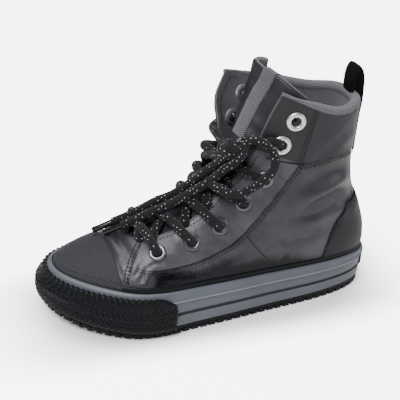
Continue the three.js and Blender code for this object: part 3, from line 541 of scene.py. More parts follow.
def makeWeaveGroup():
    # over-and-under weave in uv, pitch in mm: height and a mask of painted shade that darkens the gaps
    group, source, result = newGroup("weave", {"Pitch": 1.0}, ["Height", "GapShade"])
    w = Wiring(group)
    u, v = w.split(source["Vector"])[:2]
    turn = w.math("DIVIDE", 2 * math.pi, source["Pitch"])
    product = w.times(w.math("SINE", w.times(u, turn)), w.math("SINE", w.times(v, turn)))
    height = w.plus(w.times(product, 0.5), 0.5)
    w.join(height, result["Height"])
    w.join(w.ramp(height, 0.42, 0.12), result["GapShade"])
    return group


grainGroup = makeGrainGroup()
weaveGroup = makeWeaveGroup()


def startMaterial(name, colour, roughness, **values):
    material = bpy.data.materials.new(name)
    material.use_nodes = True
    tree = material.node_tree
    surface = tree.nodes["Principled BSDF"]
    surface.inputs["Base Color"].default_value = (*colour, 1)
    surface.inputs["Roughness"].default_value = roughness
    for key, value in values.items():
        surface.inputs[key.replace("_", " ")].default_value = value
    return material, Wiring(tree), surface


def objectPlace(w):
    return w.tree.nodes.new("ShaderNodeTexCoord").outputs["Object"]


def uvPlace(w):
    return w.tree.nodes.new("ShaderNodeTexCoord").outputs["UV"]


def addBump(w, surface, height, strength, distance):
    bump = w.node("ShaderNodeBump", Strength=strength, Distance=distance)
    w.join(height, bump.inputs["Height"])
    w.join(bump.outputs[0], surface.inputs["Normal"])


def groupNode(w, group, vector, **values):
    made = w.node("ShaderNodeGroup")
    made.node_tree = group
    for key, value in values.items():
        made.inputs[key].default_value = value
    w.join(vector, made.inputs["Vector"])
    return made


# The quarter's leather. Its band of darker, glossier leather is in metres: height over the foxing's edge,
# softness, how far it is ragged and wavy, and where and how far it sinks towards the toe cap and the heel
leatherLook = {
    "colour": (0.0185, 0.0175, 0.023), "worn": (0.037, 0.035, 0.044), "dark": (0.0028, 0.0030, 0.0045),
    "roughness": 0.41, "specular": 0.36, "coat": 0.05, "grain": 1100.0, "bump": 0.26, "folds": 0.5,
    "bandTop": 0.0135, "bandSoft": 0.005, "ragged": 0.009, "wavy": 0.016,
    "bandFront": (0.052, 0.068), "frontDrop": 0.02, "bandBack": (-0.045, -0.095), "backDrop": 0.012,
}


def darkBand(w, look):
    # mask of the black band above the foxing, with a ragged upper edge
    place = objectPlace(w)
    x, _, z = w.split(place)
    slope = (shoe["toeRim"] - shoe["heelRim"]) / shoe["soleLength"]
    rim = w.math("MULTIPLY_ADD", x, slope, (shoe["toeRim"] + shoe["heelRim"]) / 2 * mm)
    ragged = w.times(w.minus(w.noise(place, 420, 6, 0.8), 0.5), look["ragged"])
    waves = w.times(w.minus(w.noise(place, 30, 2, 0.5), 0.5), look["wavy"])
    rearward = w.times(w.ramp(x, *look["bandBack"]), look["backDrop"])
    forward = w.times(w.ramp(x, *look["bandFront"]), look["frontDrop"])
    edge = w.plus(w.plus(w.plus(w.minus(z, rim), rearward), w.plus(ragged, waves)), forward)
    return w.ramp(edge, look["bandTop"] + look["bandSoft"], look["bandTop"] - look["bandSoft"])


def makeLeather(name, banded=False, **changes):
    look = {**leatherLook, **changes}
    coat, specular = look["coat"], look["specular"]
    finish = {"Coat_Weight": coat, "Coat_Roughness": 0.3, "Specular_IOR_Level": specular}
    material, w, surface = startMaterial(name, look["colour"], look["roughness"], **finish)
    grain = groupNode(w, grainGroup, objectPlace(w), Size=look["grain"], Folds=look["folds"])
    colour = w.mix(w.ramp(grain.outputs["Patches"], 0.42, 0.68), look["colour"], look["worn"])
    rough = w.plus(look["roughness"] - 0.1, w.times(grain.outputs["Patches"], 0.22))
    if banded:
        band = darkBand(w, look)
        colour = w.mix(band, colour, look["dark"])
        rough = w.minus(rough, w.times(band, 0.22))
        w.join(w.math("MULTIPLY_ADD", band, -0.6 * specular, specular), surface.inputs["Specular IOR Level"])
        w.join(w.math("MULTIPLY_ADD", band, -coat, coat), surface.inputs["Coat Weight"])
    w.join(colour, surface.inputs["Base Color"])
    w.join(rough, surface.inputs["Roughness"])
    addBump(w, surface, grain.outputs["Height"], look["bump"], 0.0006)
    return material


def makeRubber(name, colour, roughness, specular=0.3):
    material, w, surface = startMaterial(name, colour, roughness, Specular_IOR_Level=specular)
    grain = groupNode(w, grainGroup, objectPlace(w), Size=700.0)
    darker = tuple(0.86 * c for c in colour)
    w.join(w.mix(w.ramp(grain.outputs["Patches"], 0.35, 0.7), darker, colour), surface.inputs["Base Color"])
    w.join(w.plus(roughness - 0.08, w.times(grain.outputs["Patches"], 0.18)), surface.inputs["Roughness"])
    addBump(w, surface, grain.outputs["Height"], 0.12, 0.0004)
    return material


def addWeave(w, surface, pitch, colour, gapShadeColour, bump, depth=0.0005):
    weave = groupNode(w, weaveGroup, uvPlace(w), Pitch=pitch)
    # the gaps take the darker colour: painted shade in the weave's hollows
    w.join(w.mix(weave.outputs["GapShade"], colour, gapShadeColour), surface.inputs["Base Color"])
    addBump(w, surface, weave.outputs["Height"], bump, depth)


def makeWoven(name, colour, gapShadeColour, pitch, bump, roughness=0.85, sheen=0.1, specular=0.2):
    material, w, surface = startMaterial(
        name, colour, roughness, Sheen_Weight=sheen, Sheen_Roughness=0.5, Specular_IOR_Level=specular
    )
    addWeave(w, surface, pitch, colour, gapShadeColour, bump)
    return material


def makeToeRubber():
    # diamond waffle pressed into the toe cap's rubber; its hollows are darkened with painted shade
    material, w, surface = startMaterial("toeCapRubber", (0.014, 0.015, 0.018), 0.6, Specular_IOR_Level=0.3)
    addWeave(w, surface, 2.6, (0.021, 0.022, 0.026), (0.0035, 0.0038, 0.0048), 0.7, 0.0006)
    return material


# The lace: black braid with pale flecks, which lie in lanes that wind round it. Sizes in mm, and the
# share of the places in a lane that has a fleck
laceLook = {
    "colour": (0.0033, 0.0032, 0.0046), "fleck": (0.42, 0.42, 0.44), "width": 6.6, "braid": 2.1,
    "pitch": 2.9, "lanes": 6, "wind": 0.3, "shift": 1.1,
    "dot": 0.36, "soft": 0.12, "stray": 1.5, "share": 0.55,
}


def makeLaceMaterial():
    # uv is mm along and mm around
    look = laceLook
    material, w, surface = startMaterial(
        "laceBraid", look["colour"], 0.8, Sheen_Weight=0.05, Sheen_Roughness=0.5, Specular_IOR_Level=0.25
    )
    u, v = w.split(uvPlace(w))[:2]
    laneWidth = math.pi * look["width"] / look["lanes"]
    v = w.plus(v, w.times(u, look["wind"]))
    lane = w.math("DIVIDE", v, laneWidth)
    cell = w.math("DIVIDE", w.plus(u, w.times(w.math("FLOOR", lane), look["shift"])), look["pitch"])
    # each cell has its own chance, which hides some flecks and moves the others a little
    chance = w.node("ShaderNodeTexWhiteNoise", noise_dimensions="2D")
    corner = w.node("ShaderNodeCombineXYZ")
    w.join(w.math("FLOOR", cell), corner.inputs[0])
    w.join(w.math("FLOOR", lane), corner.inputs[1])
    w.join(corner.outputs[0], chance.inputs["Vector"])
    moved = w.times(w.minus(chance.outputs["Value"], 0.5), look["stray"])
    row = w.plus(w.times(w.minus(w.math("FRACT", lane), 0.5), laneWidth), moved)
    along = w.minus(w.times(w.minus(w.math("FRACT", cell), 0.5), look["pitch"]), w.times(moved, 0.5))
    distance = w.math("SQRT", w.plus(w.math("POWER", row, 2), w.math("POWER", along, 2)))
    shown = w.math("LESS_THAN", chance.outputs["Value"], look["share"])
    dots = w.times(w.ramp(distance, look["dot"] + look["soft"], look["dot"] - look["soft"]), shown)
    w.join(w.mix(dots, look["colour"], look["fleck"]), surface.inputs["Base Color"])
    turn = 2 * math.pi / look["braid"]
    braid = w.times(
        w.math("SINE", w.times(w.plus(u, v), turn)),
        w.math("SINE", w.times(w.minus(u, v), turn)),
    )
    addBump(w, surface, braid, 0.5, 0.0005)
    return material


leather = makeLeather("quarterLeather", banded=True)
trimLeather = makeLeather(
    "eyestayLeather", colour=(0.037, 0.0345, 0.043), worn=(0.057, 0.054, 0.066), roughness=0.43
)
tongueLeather = makeLeather(
    "tongueLeather", colour=(0.012, 0.0125, 0.017), worn=(0.018, 0.0185, 0.024), roughness=0.55, specular=0.2
)
cuffLeather = makeLeather(
    "cuffLeather", colour=(0.0145, 0.0155, 0.019), worn=(0.022, 0.023, 0.028), roughness=0.45, specular=0.24
)
counterLeather = makeLeather(
    "counterLeather", colour=(0.0055, 0.0062, 0.008), worn=(0.009, 0.010, 0.0125), roughness=0.5,
    coat=0.02, specular=0.16,
)
panelLeather = makeLeather(
    "topPanelLeather", colour=(0.0085, 0.0085, 0.0095), worn=(0.015, 0.015, 0.0165), roughness=0.6
)
blackRubber = makeRubber("blackRubber", (0.0030, 0.0037, 0.0052), 0.46, specular=0.16)
greyRubber = makeRubber("greyFoxing", (0.083, 0.092, 0.109), 0.42)
# paler grey for the ridge's bead rows: a painted highlight along the top of the foxing's ridge
ridgeHighlightRubber = makeRubber("ridgePaintedHighlight", (0.21, 0.22, 0.245), 0.34)
stripeRubber = makeRubber("blackStripe", (0.007, 0.009, 0.012), 0.5)
toeRubber = makeToeRubber()
# the second colour of each woven material is painted shade in the gaps of its weave
liningCloth = makeWoven("liningMesh", (0.125, 0.123, 0.136), (0.006, 0.006, 0.008), 2.4, 1.0)
feltCloth = makeWoven("feltEdge", (0.13, 0.13, 0.142), (0.07, 0.07, 0.077), 0.6, 0.4, roughness=0.95)
ribbonCloth = makeWoven("greyWebbing", (0.108, 0.105, 0.118), (0.026, 0.026, 0.031), 1.7, 1.0)
loopCloth = makeWoven(
    "blackWebbing", (0.0038, 0.0036, 0.004), (0.0012, 0.0012, 0.0013), 1.0, 0.7, sheen=0.0, specular=0.1
)
insoleCloth = makeWoven("insoleCloth", (0.05, 0.05, 0.056), (0.02, 0.02, 0.023), 1.4, 0.4)
# black thread of the stitches, also used for the painted shade lines along the overlays' edges
threadAndEdgeShade = startMaterial("stitchThreadAndEdgeShade", (0.002, 0.002, 0.0025), 0.6, Specular_IOR_Level=0.25)[0]
gunmetal = startMaterial("gunmetal", (0.13, 0.13, 0.148), 0.34, Metallic=1.0)[0]
silver = startMaterial("brightSteel", (0.62, 0.62, 0.63), 0.34, Metallic=0.92)[0]
agletPlastic = startMaterial("agletPlastic", (0.006, 0.006, 0.007), 0.25)[0]
laceBraid = makeLaceMaterial()
print("materials made")

# Upper: thin leather outside, grey mesh lining inside with its padded roll over the collar
upperLook = {
    "leather": 1.3, "rows": (5, 186, 82), "columns": 80, "hole": 3.9,
    "liningRows": (4, 60, 60), "liningColumns": 56, "liningEdge": 0.026, "liningGap": 0.05,
    "rollHeight": 0.62, "rollOver": 0.5, "rollSteps": (150, 26),
}


def shellRows(height, counts):
    front, back = levelEnds(height)
    tip = np.linspace(0, front, counts[0])[:-1]
    body = lerp(front, back, (1 - np.cos(np.pi * np.linspace(0, 1, counts[1]))) / 2)
    shaft = back + (topSection - back) * np.linspace(0, 1, counts[2])[1:] ** 1.35
    return np.concatenate([tip, body, shaft]), back


def shellAngles(rows, columns, side, back, inset):
    start = np.maximum(throatAngle(rows) - inset, 0)
    end = np.where(rows >= back - 1e-6, np.pi, levelAngle(rows, featherHeight, side))
    end = np.where(end > np.pi - 0.01, np.pi, end)
    return side * lerp(start[:, None], end[:, None], np.linspace(0, 1, columns)[None, :])


def eyeletPlaces(side):
    places = []
    for section, inset, isTop in eyeletRows:
        at, turn = np.array(section), side * (throatAngle(section) + inset)
        places.append((lastPoint(at, turn), lastNormal(at, turn), isTop))
    return places


def awayFromEyelets(grid, side):
    middle = (grid[:-1, :-1] + grid[1:, 1:]) / 2
    keep = np.ones(middle.shape[:2], bool)
    for place, _, _ in eyeletPlaces(side):
        keep &= np.linalg.norm(middle - place, axis=-1) > upperLook["hole"]
    return keep


def shellPatches(counts, columns, walls, inset=0.0, inward=False):
    # the two halves of a shell over the last, with the eyelet holes left out
    rows, back = shellRows(featherHeight, counts)
    patches = []
    for side, _ in sides:
        outer, inner = walls(rows[:, None], shellAngles(rows, columns, side, back, inset))
        patches.append(layer(outer, inner, (side > 0) == inward, keep=awayFromEyelets(outer, side)))
    return patches


def makeUpper():
    walls = lambda s, a: (onUpper(s, a, 0), overLast(s, a, -upperLook["leather"]))
    onePiece("upper", shellPatches(upperLook["rows"], upperLook["columns"], walls), leather)


def makeLining():
    look = upperLook
    walls = lambda s, a: (overLast(s, a, -wallAt(s, a)), overLast(s, a, -look["leather"] - look["liningGap"]))
    patches = shellPatches(look["liningRows"], look["liningColumns"], walls, look["liningEdge"], inward=True)
    # the roll: an oval carried round the collar, as wide as the wall is there
    edge = throatAngle(float(topSection)) - look["liningEdge"]
    around = np.linspace(edge, 2 * np.pi - edge, look["rollSteps"][0])
    turn = np.linspace(0, 2 * np.pi, look["rollSteps"][1])
    top = np.full(around.shape, float(topSection))
    wall = wallAt(top, np.where(around > np.pi, around - 2 * np.pi, around))
    middle = overLast(top, around, -wall / 2)
    up = unit(lastPoint(top, around) - lastPoint(top - 0.15, around))
    padded = (wall - shoe["upperWall"]) / (shoe["collarWall"] - shoe["upperWall"])
    wide = wall / 2 + look["rollOver"] * (0.3 + padded)
    high = wall * look["rollHeight"] + 0.4
    ring = middle[:, None] + lastNormal(top, around)[:, None] * (wide[:, None] * np.cos(turn))[..., None]
    ring = ring + up[:, None] * (high[:, None] * np.sin(turn))[..., None]
    roll = solidFrom([layer(np.concatenate([ring[:1] * 0 + middle[0], ring, ring[-1:] * 0 + middle[-1]]))])
    return meshObject("lining", [(*solidFrom(patches), 0), (*roll, 0)], [liningCloth])


makeUpper()
makeLining()
print("upper made")

# Overlays on the upper: walls in mm, borders as (section, angle)
overlayLook = {"wall": 0.75, "sink": 0.35, "clear": 0.9}
eyestayEnds = (4.72, 13.24)
eyestayBack = [
    (4.7, 1.08), (5.3, 1.12), (5.5, 1.0), (5.75, 0.95), (6.14, 0.99), (6.7, 1.05),
    (7.3, 1.105), (7.84, 1.136), (8.6, 1.168), (9.1, 1.152), (9.5, 1.11), (10.1, 1.075),
    (11.0, 1.09), (11.94, 1.168), (12.7, 1.25), (13.24, 1.305),
]
eyestayFront = [
    (4.68, 1.05), (4.9, 0.83), (5.14, 0.665), (5.46, 0.5), (5.72, 0.38), (5.9, 0.36), (6.1, 0.385),
]
panelEnds = (12.3, 13.25, 15.97)  # lower edge at the throat and at the back, upper edge
panelBack = [
    (12.3, 0.86), (12.6, 1.03), (13.2, 1.31), (13.6, 1.37),
    (14.24, 1.42), (14.84, 1.456), (15.44, 1.471), (15.95, 1.497),
]
counterEnds = (10.24, 13.75)
counterFront = [
    (10.24, 2.09), (10.54, 1.97), (11.06, 1.89), (11.86, 1.95),
    (12.76, 2.115), (13.2, 2.33), (13.6, 2.7), (13.75, 3.1),
]
cuffFront, cuffTop = 1.2, 15.98
cuffLow = [  # here (angle, section)
    (0.95, 12.45), (1.136, 12.84), (1.314, 13.26), (1.6, 14.04),
    (1.874, 14.56), (2.09, 14.8), (2.37, 14.9), (3.15, 14.93),
]
# Toe cap and counter: thickness at the edge, what is added inside it and over what distance, in mm
toeCapLook = {"end": 4.45, "edge": 0.3, "wall": 1.2, "round": 1.4, "band": (5.4, 4.4), "step": 0.4}
counterLook = {"rise": 4.4, "edge": 0.2, "wall": 0.55, "round": 0.8}
# The rand: the section where it meets the toe cap, and its profile of (height over the foxing, out)
randEnd = 4.42
randProfile = [
    (0.2, 0.3), (0.35, 0.9), (0.8, 1.25), (1.6, 1.35), (2.6, 1.35), (3.4, 1.2), (3.85, 0.8), (4.0, 0.2),
]


def tableAt(table, value):
    rows = np.array(table)
    return np.interp(value, rows[:, 0], rows[:, 1])


def makeEyestays():
    for side, name in sides:
        sections = lerp(*eyestayEnds, edgeSpread(150, 0.004))
        onVamp = sections < eyestayFront[-1][0]
        low = np.where(onVamp, tableAt(eyestayFront, sections), throatAngle(sections) + 0.015)
        rim = levelAngle(sections, aboveRim(overlayLook["clear"] + 2.6), side)
        high = np.minimum(tableAt(eyestayBack, sections), rim)
        low = np.minimum(low, high - 0.01)
        a = side * lerp(low[:, None], high[:, None], edgeSpread(40, 0.02)[None, :])
        onePiece("eyestay_" + name, [laidPatch(sections[:, None], a, side)], trimLeather)


def makeTopPanels():
    front, back, top = panelEnds
    for side, name in sides:
        share = edgeSpread(50)[:, None]
        across = edgeSpread(40, 0.015)[None, :]
        s = lerp(lerp(front, back, across), top, share)
        low, high = throatAngle(lerp(front, top, share)) + 0.02, tableAt(panelBack, lerp(back, top, share))
        patch = laidPatch(s, side * lerp(low, high, across), side, lift=overlayLook["wall"] * 0.7)
        onePiece("top_panel_" + name, [patch], panelLeather)


def makeCuff():
    # band round the shaft above the cuff seam, from one top panel round the back to the other
    around = np.linspace(cuffFront, 2 * np.pi - cuffFront, 190)[None, :]
    low = tableAt(cuffLow, np.pi - np.abs(np.pi - around))
    s = lerp(low, cuffTop, edgeSpread(40, 0.02)[:, None])
    patch = laidPatch(s, around, 1, ends=(True, True, False, False), holes=False)
    meshObject("cuff", [(*solidFrom([patch]), 0)], [cuffLeather])


def makeToeCap():
    look, height = toeCapLook, aboveRim(overlayLook["clear"])
    sections = lerp(levelEnds(height)[0], look["end"], edgeSpread(60))
    share = np.concatenate([np.linspace(0, 0.95, 44), 1 - 0.05 * np.array([0.7, 0.4, 0.18, 0.05, 0])])
    s, patches = sections[:, None], []
    for side, _ in sides:
        a = side * levelAngle(sections, height, side)[:, None] * share[None, :]
        base = onUpper(s, a, 0)
        near = borderDistance(base, (False, True, False, True)) / look["round"]
        # a smooth step leads down to the band along the lower edge
        band = smooth(*look["band"], borderDistance(base, (False, False, False, True)))
        outer = onUpper(s, a, look["edge"] + look["wall"] * roundOff(near) - look["step"] * band)
        uv = np.stack([outer[..., 0] + outer[..., 1], outer[..., 0] - outer[..., 1]], -1)
        patches.append(layer(outer, onUpper(s, a, -overlayLook["sink"]), side < 0, uv))
    onePiece("toe_cap", patches, toeRubber)


def makeCounter():
    look, height = counterLook, aboveRim(counterLook["rise"])
    low, high = counterEnds
    back = levelEnds(height)[1]
    body = lerp(low, back, np.sin(np.linspace(0, np.pi / 2, 40)))
    sections = np.concatenate([body, lerp(back, high, edgeSpread(40, 0.01)[1:])])
    s, patches = sections[:, None], []
    for side, _ in sides:
        end = np.where(sections >= back - 1e-6, np.pi, levelAngle(sections, height, side))
        front = np.minimum(tableAt(counterFront, sections), end)
        a = side * lerp(front[:, None], end[:, None], edgeSpread(30, 0.02)[None, :])
        base = onUpper(s, a, 0)
        near = borderDistance(base, (False, False, True, False)) / look["round"]
        outer = onUpper(s, a, look["edge"] + look["wall"] * roundOff(near))
        patches.append(layer(outer, onUpper(s, a, -overlayLook["sink"]), side < 0, loftUv(base)))
    onePiece("heel_counter", patches, counterLeather)


def makeRand():
    # black strip along the top of the foxing, from the toe cap round the heel
    share = np.sin(np.linspace(0, np.pi / 2, 120))
    halves = []
    for side, _ in sides:
        rows = []
        for rise, out in randProfile:
            level = aboveRim(rise)
            s = lerp(randEnd, levelEnds(level)[1], share)
            a = side * levelAngle(s, level, side)
            rows.append(np.stack([onUpper(s, a, out), onUpper(s, a, -0.4)]))
        halves.append(np.stack(rows))
    strip = np.concatenate([halves[0], halves[1][:, :, ::-1][:, :, 1:]], 2)
    onePiece("rand", [layer(strip[:, 0], strip[:, 1], True)], blackRubber)


makeEyestays()
makeTopPanels()
makeCuff()
makeToeCap()
makeCounter()
makeRand()
print("overlays made")

# Sole unit


def levelRing(height, out, count):
    # ring round the last at a level: heel to toe on the outer side, then back on the inner side
    front, back = levelEnds(height)
    share = (1 - np.cos(np.pi * np.arange(count + 1) / count)) / 2
    s = lerp(back, front, share)
    outer = overLast(s, levelAngle(s, height, 1), 0 * s + out)
    inner = overLast(s[::-1], -levelAngle(s[::-1], height, -1), 0 * s + out)
    return np.concatenate([outer[:-1], inner[:-1]])


def planNormals(ring):
    along = np.roll(ring, -1, 0) - np.roll(ring, 1, 0)
    return unit(np.stack([-along[:, 1], along[:, 0], 0 * along[:, 0]], -1))


def evenRing(ring, count):
    # the same ring with points an even distance apart, starting at the toe tip
    ring = np.roll(ring, -int(np.argmax(ring[:, 0])), 0)
    closed = np.vstack([ring, ring[:1]])
    length = walked(closed)
    places = np.linspace(0, length[-1], count + 1)
    return resample(closed, length, places), places


ringCount = 460
rimRing, rimPlaces = evenRing(levelRing(rimHeight, 0, 200), ringCount)
rimOut = planNormals(rimRing[:-1])
for _ in range(6):  # even out the directions a little
    rimOut = unit(rimOut + 0.5 * (np.roll(rimOut, 1, 0) + np.roll(rimOut, -1, 0)))
rimOut = np.vstack([rimOut, rimOut[:1]])
rimLength = rimPlaces[-1]


def sideLean(x, share):
    # how far the foxing leans out round the toe
    lean = shoe["toeLean"] * smooth(shoe["leanStart"], 1, x / shoe["soleLength"] + 0.5)
    return lean * smooth(0, 0.62, 1 - share)


def foxingPlace(place, share, out):
    # place is the distance round the rim from the toe tip, the inner side first; share is the height
    place, share, out = np.broadcast_arrays(np.mod(place, rimLength), share, out)
    point, normal = resample(rimRing, rimPlaces, place), unit(resample(rimOut, rimPlaces, place))
    reach = shoe["seatGap"] + shoe["foxingWall"] + out + sideLean(point[..., 0], share)
    point = point + normal * reach[..., None]
    point[..., 2] = lerp(foxingBase(point[..., 0]), rimHeight(point[..., 0]), share)
    return point


soleLook = {
    "profile": [
        # height share, out, material: 0 grey, 1 black stripe, 2 bead with a painted highlight
        (0.0, -0.9, 0), (0.02, -0.1, 0), (0.05, 0.15, 0), (0.12, 0.35, 0), (0.2, 0.4, 0), (0.28, 0.3, 0),
        (0.315, 0.05, 1), (0.33, -0.6, 1), (0.36, -0.75, 1), (0.39, -0.65, 1),
        (0.405, -0.1, 0), (0.43, 0.1, 0), (0.5, 0.15, 0), (0.6, 0.1, 0), (0.68, 0.0, 0), (0.7, 0.05, 0),
        (0.715, 0.7, 2), (0.73, 1.4, 2), (0.745, 1.65, 2), (0.76, 1.5, 0), (0.775, 1.0, 0),
        (0.8, 0.65, 0), (0.86, 0.55, 0), (0.92, 0.65, 0), (0.96, 0.6, 0), (0.985, 0.3, 0), (1.0, -0.5, 0),
    ],
    "floorLevels": (1.0, 0.5, 0.15, 0.0),
    "plate": [(0.0, -1.6), (0.25, -0.9), (1.2, -0.7), (2.6, -0.7), (3.1, -0.9), (3.2, -1.6)],
    "insole": [(-0.4, 3.4), (0.2, 2.9), (2.6, 2.9), (3.4, 3.2), (3.7, 4.4)],
    "drawIn": (0.4, 0.8, 1.0),
}
# Lugs under the sole: two rows along its edge (shift in pitches, outer and inner side) and chevrons across
treadLook = {
    "pitch": 7.2, "share": 0.7, "height": 3.4, "bevel": 0.5,
    "edgeRows": [(0.5, -0.35, -10.5), (0.0, -12.0, -19.0)],
    "chevrons": (-112, 98, 11.5), "chevron": [(9.5, 0), (5, 0), (-4, 1), (0.5, 1)], "margin": 20, "gap": 0.2,
}
# The bumper's strip: bands of fine herringbone ribs, and bold slanted ones above that end as teeth. Sizes in
# mm, and heights as shares of the foxing's
bumperLook = {
    "reach": 104, "corner": 12, "wall": 2.5, "seat": 0.9, "top": 0.905, "notch": 0.035,
    "bands": 5, "bandFoot": 0.06, "bandHeight": 0.117, "finePitch": 3.6, "fineDepth": 0.75, "fineSlant": 0.9,
    "boldFoot": 0.65, "boldPitch": 4.6, "boldDepth": 1.1, "boldSlant": 5, "columns": 560, "rows": 66,
}
labelLook = {"half": 13.0, "low": 0.3, "high": 0.92, "seat": 0.5, "wall": 1.2}


def makeMidsole():
    rings = [foxingPlace(rimPlaces, share, out) for share, out, _ in soleLook["profile"]]
    slots = [row[2] for row in soleLook["profile"]]
    for level in soleLook["floorLevels"]:
        height = lambda x, level=level: lerp(floorHeight(x), rimHeight(x), level)
        rings.append(evenRing(levelRing(height, 0.85, 120), ringCount)[0])
        slots.append(0)
    full = closedRings(rings)
    points, faces, corners = solidFrom([layer(full, flip=True)])
    index = np.pad(slots, len(soleLook["drawIn"]))[triangleRows(full)]
    finishes = [greyRubber, stripeRubber, ridgeHighlightRubber]
    meshObject("midsole", [(points, faces, corners, index)], finishes, ["midsole"])


def closeAcross(ring):
    # rings that draw in to the middle line of the sole, each point to the place on it with the same x
    x = ring[:, 0]
    first, last = np.argmin(x), np.argmax(x)
    upper = ring[:, 1] >= np.interp(x, [x[first], x[last]], [ring[first, 1], ring[last, 1]])
    xs = np.linspace(x[first], x[last], 60)
    edges = [readAt(x[part], ring[part, 1], xs) for part in (upper, ~upper)]
    inner = np.stack([x, np.interp(x, xs, sum(edges) / 2), np.interp(x, xs, readAt(x, ring[:, 2], xs))], -1)
    return np.stack([lerp(ring, inner, share) for share in soleLook["drawIn"]])


def readAt(x, y, places):
    # y at other places, with x in any order
    order = np.argsort(x)
    return np.interp(places, x[order], y[order])


def closedRings(rings):
    # a stack of rings, closed across at both ends
    return np.concatenate([closeAcross(rings[0])[::-1], np.stack(rings), closeAcross(rings[-1])])


def triangleRows(grid):
    # the grid row that each kept triangle of solidFrom belongs to
    inverse = weld(grid.reshape(-1, 3))[1]
    faces = inverse[gridTriangles(grid.shape[0], grid.shape[1], 0, None, True)]
    return np.repeat(np.arange(grid.shape[0] - 1), 2 * (grid.shape[1] - 1))[wholeFaces(faces)]


def makeBumper():
    look = bumperLook
    reach = look["reach"]
    place = np.linspace(-reach, reach, look["columns"])[None, :]
    share = np.r_[0.0, 0.01, 0.03, np.linspace(0.05, 0.88, look["rows"]), 0.895, 0.905, 0.91][:, None]
    upper = smooth(look["boldFoot"] - 0.01, look["boldFoot"] + 0.01, share)
    bandAt = np.clip((share - look["bandFoot"]) / look["bandHeight"], 0, look["bands"] - 0.001)
    band = np.floor(bandAt)
    slant = np.where(band % 2 == 0, bandAt - band, 1 - (bandAt - band))
    fine = place / look["finePitch"] + slant * look["fineSlant"] + band * 0.5
    bold = place / look["boldPitch"] + (share - look["boldFoot"]) * look["boldSlant"]
    phase = np.where(upper > 0.5, bold, fine)
    ridge = 1 - np.abs(2 * (phase - np.floor(phase)) - 1)
    depth = lerp(look["fineDepth"], look["boldDepth"], upper) * smooth(0.03, 0.08, share)
    # the ends are rounded off towards the top, and the notches between the teeth are cut into it
    cornered = look["corner"] * (1 - np.sqrt(1 - smooth(0.5, 0.9, share) ** 2))
    place = place * (1 - cornered / reach)
    ends = roundOff((reach - cornered - np.abs(place)) / look["wall"])
    top = look["top"] - look["notch"] * (1 - smooth(0.2, 0.6, ridge)) * smooth(0.75, 0.9, share)
    trimmed = np.minimum(share, top)
    rounded = roundOff((look["top"] + 0.005 - share) / 0.03)
    fading = 0.4 + 0.6 * np.maximum(smooth(0.84, 0.78, share), 0.7)
    ribs = depth * smooth(0.2, 0.8, ridge) * rounded * fading
    outer = foxingPlace(place, trimmed, look["seat"] + (look["wall"] * (0.35 + 0.65 * rounded) + ribs) * ends)
    patch = layer(outer, foxingPlace(place, trimmed, -0.1))
    onePiece("toe_bumper", [patch], blackRubber)


def makeHeelLabel():
    # a plate across the back of the foxing, its edges rounded
    look = labelLook
    across = np.linspace(-look["half"], look["half"], 60)[None, :]
    share = np.linspace(look["low"], look["high"], 40)[:, None]
    fromEnds = 25 * np.minimum(share - look["low"], look["high"] - share)
    rounded = roundOff(np.minimum(look["half"] - np.abs(across), fromEnds) / look["wall"])
    place = heelPlace + across
    outer = foxingPlace(place, share, look["seat"] + look["wall"] * rounded)
    patch = layer(outer, foxingPlace(place, share, -0.2))
    onePiece("heel_label", [patch], blackRubber)


heelPlace = float(rimPlaces[int(np.argmin(rimRing[:-1, 0]))])


def blockSolid(corners):
    # a lug on four plan corners, its lower edges bevelled
    middle, bevel = corners.mean(0), treadLook["bevel"]
    low = springHeight(corners[:, 0])
    high = low + treadLook["height"]
    centre = np.broadcast_to(middle, (4, 2))
    rings = [np.column_stack([centre, np.full(4, high.mean())])]
    for level, inset in ((high, 0), (low + bevel, 0), (low, bevel)):
        rings.append(np.column_stack([corners - unit(corners - middle) * inset * 1.4, level]))
    rings.append(np.column_stack([centre, np.full(4, low.mean())]))
    return (*solidFrom([layer(np.stack([np.vstack([ring, ring[:1]]) for ring in rings]))]), 0)


def makeOutsole():
    look, rings = treadLook, []
    for rise, out in soleLook["plate"]:
        ring = foxingPlace(rimPlaces, 0.0, out)
        ring[:, 2] = shoe["lugDepth"] + springHeight(ring[:, 0]) + rise
        rings.append(ring)
    parts = [(*solidFrom([layer(closedRings(rings), flip=True)]), 0)]
    count = int(rimLength / look["pitch"])
    step = rimLength / count
    for shift, outer, inner in look["edgeRows"]:
        for k in range(count):
            ends = (k + shift) * step + np.array([-1, 1]) * step * look["share"] / 2
            edge, inside = foxingPlace(ends, 0.0, outer), foxingPlace(ends[::-1], 0.0, inner)
            parts.append(blockSolid(np.concatenate([edge, inside])[:, :2]))
    for x in np.arange(*look["chevrons"]):
        near = rimRing[np.abs(rimRing[:, 0] - x) < 5, 1]
        middle, half = (near.max() + near.min()) / 2, (near.max() - near.min()) / 2 - look["margin"]
        for side, _ in sides:
            reach = [side * (half if isOut else look["gap"]) for _, isOut in look["chevron"]]
            corners = np.array([[x + dx, middle + out] for (dx, _), out in zip(look["chevron"], reach)])
            parts.append(blockSolid(corners if side < 0 else corners[::-1]))
    meshObject("outsole", parts, [blackRubber], ["outsole"], 35)


def makeInsole():
    ring, _ = evenRing(levelRing(featherHeight, 0, 120), 240)
    out = planNormals(ring[:-1])
    out = np.vstack([out, out[:1]])
    rings = []
    for rise, inset in soleLook["insole"]:
        place = ring - out * inset
        place[:, 2] = floorHeight(place[:, 0]) + rise
        rings.append(place)
    full = closedRings(rings)
    onePiece("insole", [layer(full, flip=True, uv=full[..., :2].copy())], insoleCloth)


makeMidsole()
makeBumper()
makeHeelLabel()
makeOutsole()
makeInsole()
print("sole made")

